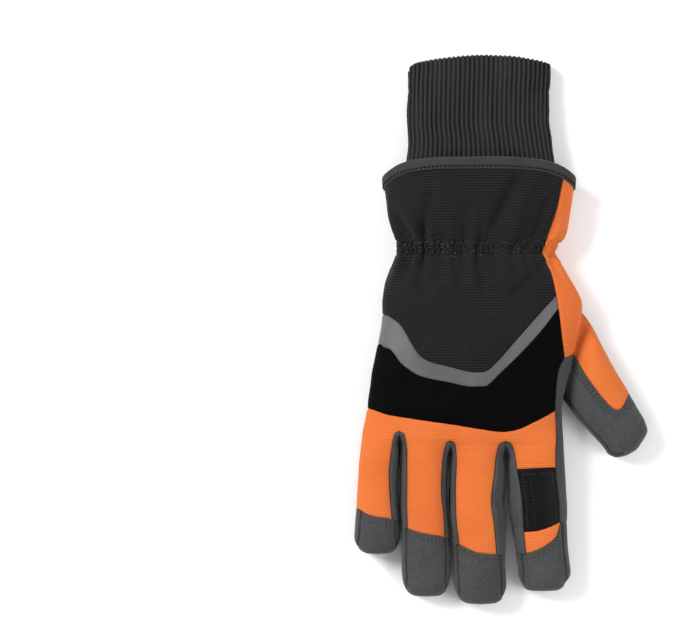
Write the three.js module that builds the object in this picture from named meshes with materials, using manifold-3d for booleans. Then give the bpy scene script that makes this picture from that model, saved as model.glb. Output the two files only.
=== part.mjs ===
// Winter work glove for the right hand, lying palm down on a flat surface.
// Millimetres. +X to the thumb side, +Y from the fingers to the knitted cuff, +Z up.
// The origin is under the middle of the glove's outline, on the surface it lies on.
// The hand, each finger and the thumb are hollow tubes given by tables of sections.
// The joined hollow skin is cut along the seams into the glove's panels.
import * as THREE from "three";
import { mergeVertices } from "three/addons/utils/BufferGeometryUtils.js";
import Module from "manifold-3d";

const wasm = await Module();
wasm.setup();

// Sizes of the cloth, the gaps and the trim
const WALL = 2.6; // padded shell of the hand: face cloth, filling and inside cloth
const KNIT_WALL = 3.0; // doubled rib knit
const GAP = 0.3; // room left between two pieces that are sewn together
const SEAM_HEIGHT = 8; // height of the seam between the back and the palm
const BINDING_WIDTH = 6.9; // folded tape round the mouth of the gauntlet
const BINDING_EXTRA = 0.9; // how far the tape stands off the cloth on each side
const HEM_Y = 76.5; // edge of the shell at the mouth, on the surface it lies on
const HEM_SLOPE = 0.56; // how far the mouth leans back to the cuff, per mm of height
const PAD_THICK = 1.5; // quilted pads on the palm
const TAB_THICK = 1.5; // cloth tab under the cuff
const BADGE_THICK = 1.2; // rubber badge on the tab
const BADGE_RIM = 0.5; // depth of the field inside the badge's raised rim
const MID_SHARE = 0.42; // height of the widest line of a section, as a share of its height
const AROUND_HAND = 24; // facets round the hand and the cuff
const AROUND_FINGER = 12;
const AROUND_THUMB = 13;
const FAR = 130; // beyond every edge of the glove

// Shape of a section: 2 is an ellipse, more is squarer
const ROUND_TOP = 2.35;
const FLAT_UNDERSIDE = 5;

// The hand from the mouth of the gauntlet to the roots of the fingers.
// y along the glove, x of the middle, half width, top and underside heights.
const HAND = [
  { y: 104, x: -13.0, half: 56.8, top: 33, low: 0.9 },
  { y: 86.6, x: -12.9, half: 55.3, top: 33, low: 0.9 },
  { y: 66.7, x: -12.9, half: 52.4, top: 31.5, low: 0.6 },
  { y: 56.2, x: -12.8, half: 48.7, top: 29.5, low: 0.3 },
  { y: 50.5, x: -14.3, half: 46.3, top: 27.8, low: 0.6 },
  { y: 46.5, x: -14.9, half: 45.3, top: 27, low: 0.9 },
  { y: 41.5, x: -14.6, half: 46.8, top: 28, low: 0.6 },
  { y: 34.5, x: -13.7, half: 50.6, top: 30.2, low: 0.8 },
  { y: 24.5, x: -12.3, half: 55.6, top: 32.3, low: 1.8 },
  { y: 14, x: -11.6, half: 57.5, top: 33.5, low: 1.8 },
  { y: -10, x: -14.7, half: 57.5, top: 34, low: 1.8 },
  { y: -33, x: -19.4, half: 56.9, top: 32.8, low: 1.8 },
  { y: -43, x: -21.1, half: 56.5, top: 31.8, low: 1.8 },
  { y: -52, x: -22.0, half: 57.2, top: 30.4, low: 1.8 },
  { y: -59, x: -22.4, half: 57.8, top: 28.4, low: 1.8 },
  { y: -64, x: -22.6, half: 57, top: 25, low: 3 },
  { y: -68, x: -22.6, half: 54, top: 19, low: 6 },
];

// The fingers from inside the hand to the tips. nose is the share of the wall by which a
// section of the hollow stays back from the tip.
const LITTLE = [
  { y: -45, x: -65.0, half: 11.5, top: 27, low: 1.8, nose: 0 },
  { y: -73, x: -70.9, half: 11.0, top: 25.6, low: 1.6, nose: 0 },
  { y: -86, x: -71.9, half: 11.0, top: 24.4, low: 0.3, nose: 0 },
  { y: -100, x: -72.2, half: 11.7, top: 23.8, low: 0, nose: 0 },
  { y: -114, x: -72.1, half: 12.9, top: 22.6, low: 0, nose: 0.1 },
  { y: -121.5, x: -72.3, half: 13.1, top: 21, low: 0, nose: 0.3 },
  { y: -126.5, x: -72.0, half: 12.0, top: 19.2, low: 0.5, nose: 0.6 },
  { y: -129.7, x: -71.8, half: 10.2, top: 16.8, low: 1.8, nose: 0.9 },
  { y: -131.6, x: -71.6, half: 6.4, top: 13.4, low: 4.4, nose: 1 },
];
const RING = [
  { y: -45, x: -45.4, half: 13.6, top: 28, low: 1.8, nose: 0 },
  { y: -73.7, x: -44.8, half: 13.7, top: 26.6, low: 1.6, nose: 0 },
  { y: -90, x: -45.4, half: 13.5, top: 25.2, low: 0.2, nose: 0 },
  { y: -103, x: -45.4, half: 13.5, top: 24.8, low: 0, nose: 0 },
  { y: -118, x: -44.3, half: 13.8, top: 24.2, low: 0, nose: 0 },
  { y: -133, x: -43.8, half: 14.1, top: 22.6, low: 0, nose: 0.1 },
  { y: -143.5, x: -43.8, half: 13.9, top: 20.6, low: 0, nose: 0.3 },
  { y: -150, x: -43.8, half: 12.4, top: 18.8, low: 0.6, nose: 0.6 },
  { y: -154, x: -43.6, half: 10.3, top: 16.4, low: 2, nose: 0.9 },
  { y: -156.3, x: -43.4, half: 6.8, top: 12.8, low: 4.6, nose: 1 },
];
const MIDDLE = [
  { y: -45, x: -14.0, half: 15.4, top: 28.4, low: 1.8, nose: 0 },
  { y: -73.7, x: -13.7, half: 15.6, top: 27.2, low: 1.6, nose: 0 },
  { y: -90, x: -14.1, half: 15.9, top: 25.8, low: 0.2, nose: 0 },
  { y: -104, x: -14.4, half: 15.9, top: 25.4, low: 0, nose: 0 },
  { y: -119, x: -13.3, half: 15.7, top: 24.8, low: 0, nose: 0 },
  { y: -135, x: -13.0, half: 15.1, top: 23.4, low: 0, nose: 0.1 },
  { y: -147.5, x: -12.3, half: 15.0, top: 21.2, low: 0, nose: 0.3 },
  { y: -154.3, x: -12.0, half: 13.4, top: 19, low: 0.6, nose: 0.6 },
  { y: -158.2, x: -11.8, half: 11.3, top: 16.4, low: 2, nose: 0.9 },
  { y: -160.2, x: -11.6, half: 7.4, top: 12.8, low: 4.6, nose: 1 },
];
const INDEX = [
  { y: -45, x: 19.2, half: 15.4, top: 28, low: 1.8, nose: 0 },
  { y: -73.7, x: 20.0, half: 16.1, top: 26.8, low: 1.6, nose: 0 },
  { y: -90, x: 20.6, half: 16.6, top: 25.4, low: 0.2, nose: 0 },
  { y: -104, x: 21.4, half: 16.6, top: 24.8, low: 0, nose: 0 },
  { y: -117, x: 22.4, half: 15.7, top: 24, low: 0, nose: 0 },
  { y: -130, x: 24.0, half: 15.0, top: 22.8, low: 0, nose: 0.1 },
  { y: -142, x: 25.4, half: 15.0, top: 20.4, low: 0, nose: 0.3 },
  { y: -147.6, x: 25.8, half: 13.4, top: 18.4, low: 0.6, nose: 0.6 },
  { y: -151.3, x: 25.4, half: 11.6, top: 16, low: 2, nose: 0.9 },
  { y: -153.3, x: 25.0, half: 8.4, top: 12.6, low: 4.6, nose: 1 },
];

// The thumb, which lies beside the hand and below its back. turn is the angle in degrees
// between the section's width and the X axis.
const THUMB = [
  { y: 8, x: 27, half: 19, top: 25, low: 2.2, nose: 0, turn: 35 },
  { y: -8, x: 38.6, half: 20.6, top: 26, low: 1, nose: 0, turn: 36 },
  { y: -19, x: 45.6, half: 19.6, top: 26.4, low: 0, nose: 0, turn: 37 },
  { y: -30, x: 51.4, half: 18.3, top: 26, low: 0, nose: 0, turn: 37 },
  { y: -41, x: 57.8, half: 17.2, top: 25, low: 0, nose: 0, turn: 35 },
  { y: -51.5, x: 65.0, half: 15.8, top: 23.6, low: 0, nose: 0.1, turn: 31 },
  { y: -61, x: 71.0, half: 13.8, top: 21, low: 0, nose: 0.3, turn: 28 },
  { y: -66, x: 72.9, half: 12.4, top: 19, low: 0.6, nose: 0.6, turn: 26 },
  { y: -70, x: 73.8, half: 10, top: 16.6, low: 2, nose: 0.9, turn: 24 },
  { y: -72.8, x: 74.2, half: 6, top: 13, low: 4.6, nose: 1, turn: 22 },
];

// The knitted cuff, from where it is sewn in at the wrist to its free end.
const CUFF = [
  { y: 166, x: -12.6, half: 41.4, top: 17, low: 0 },
  { y: 152, x: -12.7, half: 41.3, top: 17.4, low: 0 },
  { y: 132, x: -13.5, half: 40.9, top: 18.4, low: 2.6 },
  { y: 122, x: -13.6, half: 41.0, top: 19, low: 3.6 },
  { y: 110, x: -13.0, half: 41.4, top: 20.4, low: 3.8 },
  { y: 84, x: -12.4, half: 42.6, top: 24.2, low: 5.4 },
  { y: 70, x: -12.8, half: 42.4, top: 24.6, low: 5.2 },
  { y: 50, x: -14.6, half: 40.4, top: 23.4, low: 4.2 },
];

// Seams and edges seen from above, x and y, each from the cuff towards the fingers
const SIDE_SEAM = [
  [38, 112], [36.2, 88.3], [32.0, 68.4], [26.6, 53], [23.6, 45.6], [25.9, 41.5],
  [29.4, 30], [32.0, 20.2], [33.7, 8.8], [35.2, -4], [37.0, -16.4],
];
const STRIP_SEAM = [
  [37.0, -16.4], [33.9, -22.2], [32.5, -29.5], [31.7, -39.2], [31.4, -47.2], [32.4, -52],
  [32.2, -60.3], [31.7, -71.4], [31.8, -80.5], [32.8, -90.1], [33.9, -100.0], [34.1, -112.3],
];
const STRIPE_TOP = [
  [-FAR, 8.9], [-68.1, 8.9], [-57.1, 3.1], [-52.5, -9.7], [-45.0, -17.7], [-13.2, -25.3],
  [-8.5, -23.5], [32.4, 17.0],
];
const STRIPE_LOW = [
  [-FAR, -7.9], [-72.1, -7.9], [-65.8, -11.3], [-54.8, -22.9], [-47.9, -27.0],
  [-17.8, -33.3], [-8.5, -32.8], [-1.6, -25.9], [33.7, 8.8],
];
const KNUCKLE_EDGE = [
  [-FAR, -46.0], [-78.2, -46.0], [-59.4, -51.2], [-30.5, -55.3], [0.7, -60.0], [7.7, -58.8],
  [31.4, -47.2],
];
// Seam loops round the gaps between the fingers: down the left side and up the right side
const LOOP_LITTLE = {
  left: [[-59.6, -59.4], [-62.6, -61.3], [-64.1, -71.4], [-65.4, -84], [-65.1, -94.2], [-63.8, -110.6]],
  right: [[-59.6, -59.4], [-55.9, -62.4], [-55.1, -72], [-55.1, -100.0], [-54.8, -116.1]],
};
const LOOP_RING = {
  left: [[-29.6, -65.1], [-32.2, -67.3], [-34.3, -79.0], [-35.0, -93.6], [-33.6, -109], [-32.7, -121.2]],
  right: [[-29.6, -65.1], [-27.1, -67.3], [-26.4, -77.0], [-27.1, -100.0], [-25.0, -125.5]],
};
const LOOP_MIDDLE = {
  left: [[2.1, -65.6], [-1.4, -67.6], [-4.2, -86], [-5.9, -100.0], [-3.9, -115.7], [-2.6, -131.2]],
  right: [[2.1, -65.6], [5.8, -67.3], [8.8, -81.4], [11.8, -100.0], [13.0, -118.2], [14.3, -130.5]],
};
const CAP_LITTLE = [[-FAR, -103], [-83.7, -104.7], [-74.9, -108.8], [-63.8, -110.6]];
const CAP_RING = [[-54.8, -116.1], [-45.8, -118.8], [-32.7, -121.2]];
const CAP_MIDDLE = [[-25.0, -125.5], [-18.3, -128.2], [-2.6, -131.2]];
const CAP_INDEX = [[14.3, -130.5], [21.8, -128.2], [27.1, -125.1], [32.1, -120.6], [34.1, -112.3]];
const PATCH_TOP = [[8.8, -81.4], [31.8, -80.5]];
const PATCH_LOW = [[13.0, -118.2], [20.9, -117.3], [27.1, -115.5], [34.1, -112.3]];
// Where the seam across the end of each gap piece is lowest
const LITTLE_RING = [-58.8, -113.6];
const RING_MIDDLE = [-29, -123.6];
const MIDDLE_INDEX = [6, -131.4];
const STRIP_END = [46, -112.3]; // lower end of the strip along the index finger
const THUMB_SEAM = [
  [37.0, -16.4], [41.8, -14.6], [46.2, -22.8], [52.1, -31.0], [57.9, -38.6], [62.6, -43.9],
  [66.1, -46.5], [69.6, -46.2], [72.5, -42.1], [74.4, -37.6], [90, -34],
];
// Seam between the side panel and the palm, on the underside
const UNDER_SEAM = [
  [14.7, 112], [14.7, 84.5], [15.0, 47.6], [17.2, 41.5], [24.6, 33], [32.0, 24.2],
  [44, 10], [52, 0], [59, -10], [66, -20.5], [73.4, -34],
];

// Outlines of the quilted pads on the palm, seen from above
const PADS = {
  palm_pad_fingers: [
    [-8.6, -63.9], [-22.0, -64.4], [-38.2, -60.6], [-51.4, -56.7], [-61.6, -52.4], [-66.8, -47.5],
    [-69.3, -39], [-68.2, -32], [-65.2, -22.2], [-59.4, -21.6], [-51.4, -26.1], [-38.4, -30.3],
    [-25.0, -33.2], [-14.2, -36.8], [2.5, -40.0], [17.1, -42.5], [20.0, -46], [17.1, -50.9],
    [9.2, -55.8], [2, -60],
  ],
  palm_pad_thumb: [
    [13.4, -33.6], [3.2, -33.1], [-6.5, -31.7], [-15.9, -28.2], [-22.8, -21.8], [-27, -13.9],
    [-29, -7], [-25.6, -0.6], [-18.7, 6.5], [-11.7, 13.5], [-3.3, 22], [2.5, 27.8],
    [6.6, 24.2], [11, 15.7], [13.8, 3.6], [15.9, -10.5], [17.2, -23.3], [16.7, -30],
  ],
  palm_pad_heel: [
    [-28.6, -25.8], [-36.3, -25.4], [-46.5, -23.2], [-60.0, -18], [-64.4, -14], [-66.2, -8.3],
    [-64.6, 1], [-61.2, 11], [-57.0, 22.9], [-56.2, 31.4], [-50.6, 35.3], [-38.4, 35.3],
    [-22.4, 33.5], [-10.4, 30.5], [-8.3, 26], [-17.2, 17.9], [-25.9, 10.8], [-33.6, 3],
    [-38.2, -3.4], [-37.6, -10.5], [-33.4, -17.5], [-29.6, -22.6],
  ],
};

// The tab that hangs from the mouth under the cuff, and the badge on it: half widths by y
const TAB_X = -16;
const TAB = [
  { y: 85.6, half: 21.4 }, { y: 104, half: 18.2 }, { y: 115, half: 14.6 },
  { y: 120.4, half: 11 }, { y: 122.6, half: 6 },
];
const BADGE = [
  { y: 88, half: 15.6 }, { y: 104, half: 12.6 }, { y: 113, half: 9.8 },
  { y: 116.6, half: 7.4 }, { y: 118, half: 4 },
];
const RIM = 1.5; // width of the badge's raised rim

// Free end of the cuff seen from above
const CUFF_END = [
  [-FAR, 151], [-56, 152.6], [-48, 156], [-34, 158.6], [-12, 160.2], [6, 160],
  [20, 158.2], [29, 155.4], [FAR, 153],
];

const radians = (degrees) => (degrees * Math.PI) / 180;

// A closed mesh as a solid, with its faces turned outwards
function solid(positions, faces) {
  let six = 0;
  for (const [a, b, c] of faces) {
    const [p, q, r] = [a, b, c].map((i) => new THREE.Vector3(...positions[i]));
    six += p.dot(q.cross(r));
  }
  const turned = six < 0 ? faces.map(([a, b, c]) => [a, c, b]) : faces;
  return new wasm.Manifold(
    new wasm.Mesh({
      numProp: 3,
      vertProperties: new Float32Array(positions.flat()),
      triVerts: new Uint32Array(turned.flat()),
    }),
  );
}

// Signed power that makes an ellipse squarer
const squared = (value, power) => Math.sign(value) * Math.abs(value) ** (2 / power);

// A closed tube through a table's sections. grow moves its skin outwards, or inwards below 0.
function tube(rows, around, grow) {
  const positions = [];
  const faces = [];
  for (const row of rows) {
    const turn = radians(row.turn ?? 0);
    const back = (row.nose ?? 0) * grow;
    const half = Math.max(row.half + grow, 1);
    const top = row.top + grow;
    const low = row.low - grow;
    const mid = row.low + MID_SHARE * (row.top - row.low);
    for (let j = 0; j < around; j += 1) {
      const angle = (2 * Math.PI * (j + 0.5)) / around;
      const up = Math.sin(angle);
      const wide = half * squared(Math.cos(angle), up > 0 ? ROUND_TOP : FLAT_UNDERSIDE);
      const tall = squared(up, up > 0 ? ROUND_TOP : FLAT_UNDERSIDE);
      positions.push([
        row.x + wide * Math.cos(turn) + back * Math.sin(turn),
        row.y + wide * Math.sin(turn) - back * Math.cos(turn),
        mid + tall * (up > 0 ? Math.max(top - mid, 0.6) : Math.max(mid - low, 0.6)),
      ]);
    }
  }
  for (let i = 0; i + 1 < rows.length; i += 1) {
    for (let j = 0; j < around; j += 1) {
      const a = i * around + j;
      const b = i * around + ((j + 1) % around);
      faces.push([a, b, a + around], [b, b + around, a + around]);
    }
  }
  const last = (rows.length - 1) * around;
  for (let j = 1; j + 1 < around; j += 1) {
    faces.push([0, j + 1, j], [last, last + j, last + j + 1]);
  }
  return solid(positions, faces);
}

// An upright prism over an outline, from one height to another
function prism(outline, from, to) {
  const shape = new THREE.Shape(outline.map(([x, y]) => new THREE.Vector2(x, y)));
  const flat = new THREE.ExtrudeGeometry(shape, { depth: to - from, bevelEnabled: false });
  flat.translate(0, 0, from);
  return fromGeometry(flat);
}

// A three.js geometry as a solid
function fromGeometry(geometry) {
  const bare = new THREE.BufferGeometry().setAttribute("position", geometry.getAttribute("position"));
  if (geometry.index) bare.setIndex(geometry.index);
  const merged = mergeVertices(bare, 1e-4);
  const p = merged.getAttribute("position");
  const positions = Array.from({ length: p.count }, (_, i) => [p.getX(i), p.getY(i), p.getZ(i)]);
  const index = merged.index.array;
  const faces = [];
  for (let i = 0; i < index.length; i += 3) faces.push([index[i], index[i + 1], index[i + 2]]);
  return solid(positions, faces);
}

// A thin upright wall along a seam, whose width is the gap between the pieces
function seamWall(line, width = GAP) {
  const sides = line.map(([x, y], i) => {
    const [ax, ay] = line[Math.max(i - 1, 0)];
    const [bx, by] = line[Math.min(i + 1, line.length - 1)];
    const long = Math.hypot(bx - ax, by - ay);
    const nx = (-(by - ay) / long) * (width / 2);
    const ny = ((bx - ax) / long) * (width / 2);
    return [[x + nx, y + ny], [x - nx, y - ny]];
  });
  const outline = [...sides.map(([l]) => l), ...sides.map(([, r]) => r).reverse()];
  return prism(outline, -FAR, FAR);
}

// Everything on the cuff side of a plane across the glove that leans back with height
function beyond(y) {
  const at = (z) => y + HEM_SLOPE * z;
  const corners = [];
  for (const z of [-10, 60]) {
    for (const x of [-FAR, FAR]) corners.push([x, at(z), z], [x, 2 * FAR, z]);
  }
  return solid(corners, [
    [0, 1, 3], [0, 3, 2], [4, 7, 5], [4, 6, 7], [0, 4, 5], [0, 5, 1],
    [2, 3, 7], [2, 7, 6], [0, 2, 6], [0, 6, 4], [1, 5, 7], [1, 7, 3],
  ]);
}

// The biggest body of a cut, without the slivers that two seams leave where they meet
const largest = (made) => made.decompose().sort((a, b) => b.volume() - a.volume())[0];

const join = (parts) => parts.reduce((a, b) => a.add(b));
const reversed = (line) => [...line].reverse();

// The hollow skin
const TUBES = [
  { rows: HAND, around: AROUND_HAND },
  { rows: LITTLE, around: AROUND_FINGER },
  { rows: RING, around: AROUND_FINGER },
  { rows: MIDDLE, around: AROUND_FINGER },
  { rows: INDEX, around: AROUND_FINGER },
  { rows: THUMB, around: AROUND_THUMB },
];
const body = (grow) => join(TUBES.map(({ rows, around }) => tube(rows, around, grow)));
const outside = body(0);
const hollow = body(-WALL);
const mouth = beyond(HEM_Y);
const skin = outside.subtract(hollow).subtract(mouth);

// Cutters for the two sides of the glove
const above = (z) => prism([[-FAR, -2 * FAR], [FAR, -2 * FAR], [FAR, 2 * FAR], [-FAR, 2 * FAR]], z, FAR);
const below = (z) => prism([[-FAR, -2 * FAR], [FAR, -2 * FAR], [FAR, 2 * FAR], [-FAR, 2 * FAR]], -FAR, z);
const upper = skin.intersect(above(SEAM_HEIGHT + GAP / 2));
const lower = skin.intersect(below(SEAM_HEIGHT - GAP / 2));
const over = (outline) => prism(outline, -FAR, FAR);

// The seams between the panels of the back
const seams = join(
  [
    SIDE_SEAM, STRIP_SEAM, STRIPE_TOP, STRIPE_LOW, KNUCKLE_EDGE, PATCH_TOP, PATCH_LOW,
    CAP_LITTLE, CAP_RING, CAP_MIDDLE, CAP_INDEX,
    LOOP_LITTLE.left, LOOP_LITTLE.right, LOOP_RING.left, LOOP_RING.right,
    LOOP_MIDDLE.left, LOOP_MIDDLE.right,
    [CAP_LITTLE.at(-1), LITTLE_RING, CAP_RING[0]],
    [CAP_RING.at(-1), RING_MIDDLE, CAP_MIDDLE[0]],
    [CAP_MIDDLE.at(-1), MIDDLE_INDEX, CAP_INDEX[0]],
    [CAP_INDEX.at(-1), STRIP_END],
  ].map((line) => seamWall(line)),
);

const loop = ({ left, right }, end) => [...reversed(left), ...right.slice(1), end];
const panel = (outline) => largest(upper.intersect(over(outline)).subtract(seams));

const backGauntlet = panel([[-FAR, 112], ...SIDE_SEAM.slice(0, 8), ...reversed(STRIPE_TOP)]);
const stripe = panel([...STRIPE_TOP, ...reversed(STRIPE_LOW)]);
const knucklePanel = panel([
  ...STRIPE_LOW, ...SIDE_SEAM.slice(9), ...STRIP_SEAM.slice(1, 5), ...reversed(KNUCKLE_EDGE.slice(0, -1)),
]);
const fingerBacks = panel([
  ...KNUCKLE_EDGE, ...STRIP_SEAM.slice(5, 9), ...reversed(PATCH_TOP).slice(1),
  ...reversed(LOOP_MIDDLE.right.slice(0, 2)), ...LOOP_MIDDLE.left.slice(1),
  ...reversed(CAP_MIDDLE).slice(1), ...reversed(LOOP_RING.right).slice(1),
  ...LOOP_RING.left.slice(1), ...reversed(CAP_RING).slice(1),
  ...reversed(LOOP_LITTLE.right).slice(1), ...LOOP_LITTLE.left.slice(1),
  ...reversed(CAP_LITTLE).slice(1),
]);
const indexPatch = panel([
  ...PATCH_TOP, ...STRIP_SEAM.slice(9), ...reversed(PATCH_LOW).slice(1),
  ...reversed(LOOP_MIDDLE.right.slice(3, 4)),
]);
const indexBand = panel([...PATCH_LOW, ...reversed(CAP_INDEX).slice(1)]);
const fourchette = {
  little: panel(loop(LOOP_LITTLE, LITTLE_RING)),
  ring: panel(loop(LOOP_RING, RING_MIDDLE)),
  middle: panel(loop(LOOP_MIDDLE, MIDDLE_INDEX)),
};
const tips = {
  little: panel([...CAP_LITTLE, LITTLE_RING, [LITTLE_RING[0], -170], [-FAR, -170]]),
  ring: panel([LITTLE_RING, ...CAP_RING, RING_MIDDLE, [RING_MIDDLE[0], -170], [LITTLE_RING[0], -170]]),
  middle: panel([
    RING_MIDDLE, ...CAP_MIDDLE, MIDDLE_INDEX, [MIDDLE_INDEX[0], -170], [RING_MIDDLE[0], -170],
  ]),
  index: panel([MIDDLE_INDEX, ...CAP_INDEX, STRIP_END, [STRIP_END[0], -170], [MIDDLE_INDEX[0], -170]]),
};

// The side panel: from the mouth down the thumb side and on over the back of the thumb
const sideUpper = [
  ...SIDE_SEAM, ...THUMB_SEAM.slice(1), [FAR, -34], [FAR, 112],
];
const sideLower = [...UNDER_SEAM, [76, -38], [FAR, -38], [FAR, 112]];
const thumbSeams = join([SIDE_SEAM, THUMB_SEAM].map((line) => seamWall(line)));
const underSeams = seamWall(UNDER_SEAM);
const sidePanel = upper
  .intersect(over(sideUpper))
  .subtract(thumbSeams)
  .add(
    skin
      .intersect(below(SEAM_HEIGHT + GAP))
      .intersect(over(sideLower))
      .subtract(underSeams),
  );

// The palm with the undersides of the fingers, the face of the thumb and the strip that
// comes up along the index finger
const palmUpper = [
  ...reversed(THUMB_SEAM), ...STRIP_SEAM.slice(1), STRIP_END, [FAR, -100], [FAR, -34],
];
const palm = lower
  .subtract(over(sideLower))
  .subtract(underSeams)
  .add(
    skin
      .intersect(above(SEAM_HEIGHT - 2 * GAP))
      .intersect(over(palmUpper))
      .subtract(seams)
      .subtract(thumbSeams)
      .subtract(over(sideUpper)),
  )
  .subtract(sidePanel);

// The quilted pads follow the underside of the hand
const padSkin = tube(HAND, AROUND_HAND, PAD_THICK + GAP).subtract(join([tube(HAND, AROUND_HAND, GAP), body(GAP)]));
const pads = Object.fromEntries(
  Object.entries(PADS).map(([name, outline]) => [
    name,
    padSkin.intersect(prism(outline, 0, SEAM_HEIGHT / 2)),
  ]),
);

// The folded tape round the mouth
const binding = tube(HAND, AROUND_HAND, BINDING_EXTRA)
  .subtract(tube(HAND, AROUND_HAND, -WALL - BINDING_EXTRA))
  .intersect(beyond(HEM_Y + GAP))
  .subtract(beyond(HEM_Y + GAP + BINDING_WIDTH));

// The knitted cuff
const knitTube = tube(CUFF, AROUND_HAND, 0);
const knitHollow = tube(
  [{ ...CUFF[0], y: CUFF[0].y + 4 }, ...CUFF, { ...CUFF[CUFF.length - 1], y: 44 }],
  AROUND_HAND,
  -KNIT_WALL,
);
const knitCuff = knitTube
  .subtract(knitHollow)
  .subtract(over([...CUFF_END, [FAR, 220], [-FAR, 220]]));

// The tab and the badge on it
const mirrored = (rows) => [
  ...rows.map(({ y, half }) => [TAB_X + half, y]),
  ...reversed(rows).map(({ y, half }) => [TAB_X - half, y]),
];
const inset = (rows, by) =>
  rows.map(({ y, half }, i) => ({ y: i === 0 ? y + by : y - by * (i / (rows.length - 1)), half: half - by }));
const tab = prism(mirrored(TAB), BADGE_THICK + GAP, BADGE_THICK + GAP + TAB_THICK);
const badge = prism(mirrored(BADGE), 0, BADGE_THICK).subtract(
  prism(mirrored(inset(BADGE, RIM)), -1, BADGE_RIM),
);

// Colours and surface of the materials
const CLOTH = {
  knit: { color: 0x333334, roughness: 0.95, metalness: 0 },
  tape: { color: 0x434344, roughness: 0.85, metalness: 0 },
  ribbed: { color: 0x28292b, roughness: 0.9, metalness: 0 },
  smooth: { color: 0x121213, roughness: 0.7, metalness: 0 },
  bright: { color: 0x8c8d8e, roughness: 0.45, metalness: 0.2 },
  orange: { color: 0xf07b3c, roughness: 0.8, metalness: 0 },
  suede: { color: 0x59595a, roughness: 0.92, metalness: 0 },
  rubber: { color: 0x2b2b2c, roughness: 0.5, metalness: 0 },
};

const group = new THREE.Group();
group.name = "winter_work_glove";

function piece(name, made, cloth) {
  const m = made.getMesh();
  const n = m.numProp;
  const positions = new Float32Array(m.numVert * 3);
  for (let i = 0; i < m.numVert; i += 1) {
    positions.set(m.vertProperties.subarray(i * n, i * n + 3), i * 3);
  }
  const geometry = new THREE.BufferGeometry();
  geometry.setAttribute("position", new THREE.BufferAttribute(positions, 3));
  geometry.setIndex(new THREE.BufferAttribute(m.triVerts, 1));
  geometry.computeVertexNormals();
  const mesh = new THREE.Mesh(geometry, new THREE.MeshStandardMaterial(CLOTH[cloth]));
  mesh.name = name;
  group.add(mesh);
}

piece("knit_cuff", knitCuff, "knit");
piece("mouth_binding", binding, "tape");
piece("back_gauntlet", backGauntlet, "ribbed");
piece("reflective_stripe", stripe, "bright");
piece("knuckle_panel", knucklePanel, "smooth");
piece("finger_backs", fingerBacks, "orange");
piece("index_patch", indexPatch, "smooth");
piece("index_band", indexBand, "orange");
for (const [name, made] of Object.entries(fourchette)) piece("fourchette_" + name, made, "suede");
for (const [name, made] of Object.entries(tips)) piece("fingertip_" + name, made, "suede");
piece("side_panel", sidePanel, "orange");
piece("palm", palm, "suede");
for (const [name, made] of Object.entries(pads)) piece(name, made, "suede");
piece("cuff_tab", tab, "suede");
piece("tab_badge", badge, "rubber");

export default group;
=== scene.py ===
"""A right-hand winter work glove lying palm down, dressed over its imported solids.

The sizes are in millimetres and the meshes in metres. +X is the thumb side, +Y runs from the
fingers to the knitted cuff, and +Z is up out of the back of the hand.
"""
import math

import bpy
import numpy as np
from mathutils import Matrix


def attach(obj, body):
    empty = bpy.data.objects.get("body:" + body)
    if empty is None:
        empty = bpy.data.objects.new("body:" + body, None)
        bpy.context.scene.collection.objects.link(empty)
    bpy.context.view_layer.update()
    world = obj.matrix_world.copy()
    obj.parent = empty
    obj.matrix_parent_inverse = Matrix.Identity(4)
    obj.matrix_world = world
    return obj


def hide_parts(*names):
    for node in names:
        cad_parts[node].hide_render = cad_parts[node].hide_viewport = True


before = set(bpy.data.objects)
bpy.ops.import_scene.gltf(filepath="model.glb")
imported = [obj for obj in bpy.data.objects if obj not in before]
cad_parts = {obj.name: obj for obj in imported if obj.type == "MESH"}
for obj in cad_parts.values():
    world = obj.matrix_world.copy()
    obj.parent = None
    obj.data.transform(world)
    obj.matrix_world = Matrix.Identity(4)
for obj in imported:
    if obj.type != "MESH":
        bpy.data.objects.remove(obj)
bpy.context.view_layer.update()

MM = 0.001
MID_SHARE = 0.42  # height of a section's widest line, as a share of its height
ROUND_TOP = 2.35  # 2 is an ellipse, more is squarer
FLAT_UNDERSIDE = 5
SEAM_Z = 8.0  # height of the seam between back and palm
FINGER_SEAM_Z = 5.5  # the same between the fingers
HEM_Y, HEM_SLOPE = 77.0, 0.5  # the mouth's edge, and how far it leans back per mm of height
GATHER_Y = 47.5  # the two rows of elastic at the wrist
SMALL_PUCKER, WIDE_PUCKER = 4.4, 13.5  # spacings of the puckers that they make
PUFF_RISE = 5.0  # how quickly a panel rises from its seams

# Sections. Columns: y along the glove, x of the middle, half width, top, underside
HAND = [
    (112, -13.0, 57.0, 33.2, 0.9), (86.6, -12.9, 55.3, 33, 0.9), (75.5, -12.9, 54.1, 32.5, 0.9),
    (66.7, -13.2, 52.8, 31.5, 0.6), (56.2, -13.3, 49.3, 29.5, 0.4), (50.5, -14.5, 46.4, 27.8, 0.5),
    (46.5, -15.3, 44.9, 27, 0.6), (41.5, -15.0, 46.3, 28, 0.6), (34.5, -14.1, 50.2, 30.2, 0.8),
    (24.5, -12.3, 55.6, 32.3, 1.6), (14, -11.0, 58.1, 33.5, 1.8), (2, -12.2, 57.6, 34, 1.8),
    (-10, -14.7, 57.5, 34, 1.8), (-22, -17.2, 57.5, 33.6, 1.8), (-33, -19.4, 56.9, 32.8, 1.8),
    (-43, -21.1, 56.5, 31.8, 1.8), (-52, -22.0, 57.2, 30.4, 1.8), (-60, -22.5, 58.2, 29.0, 1.8),
    (-72, -22.6, 59, 27.4, 1.6), (-90, -22.6, 60, 26, 1),
]
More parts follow.
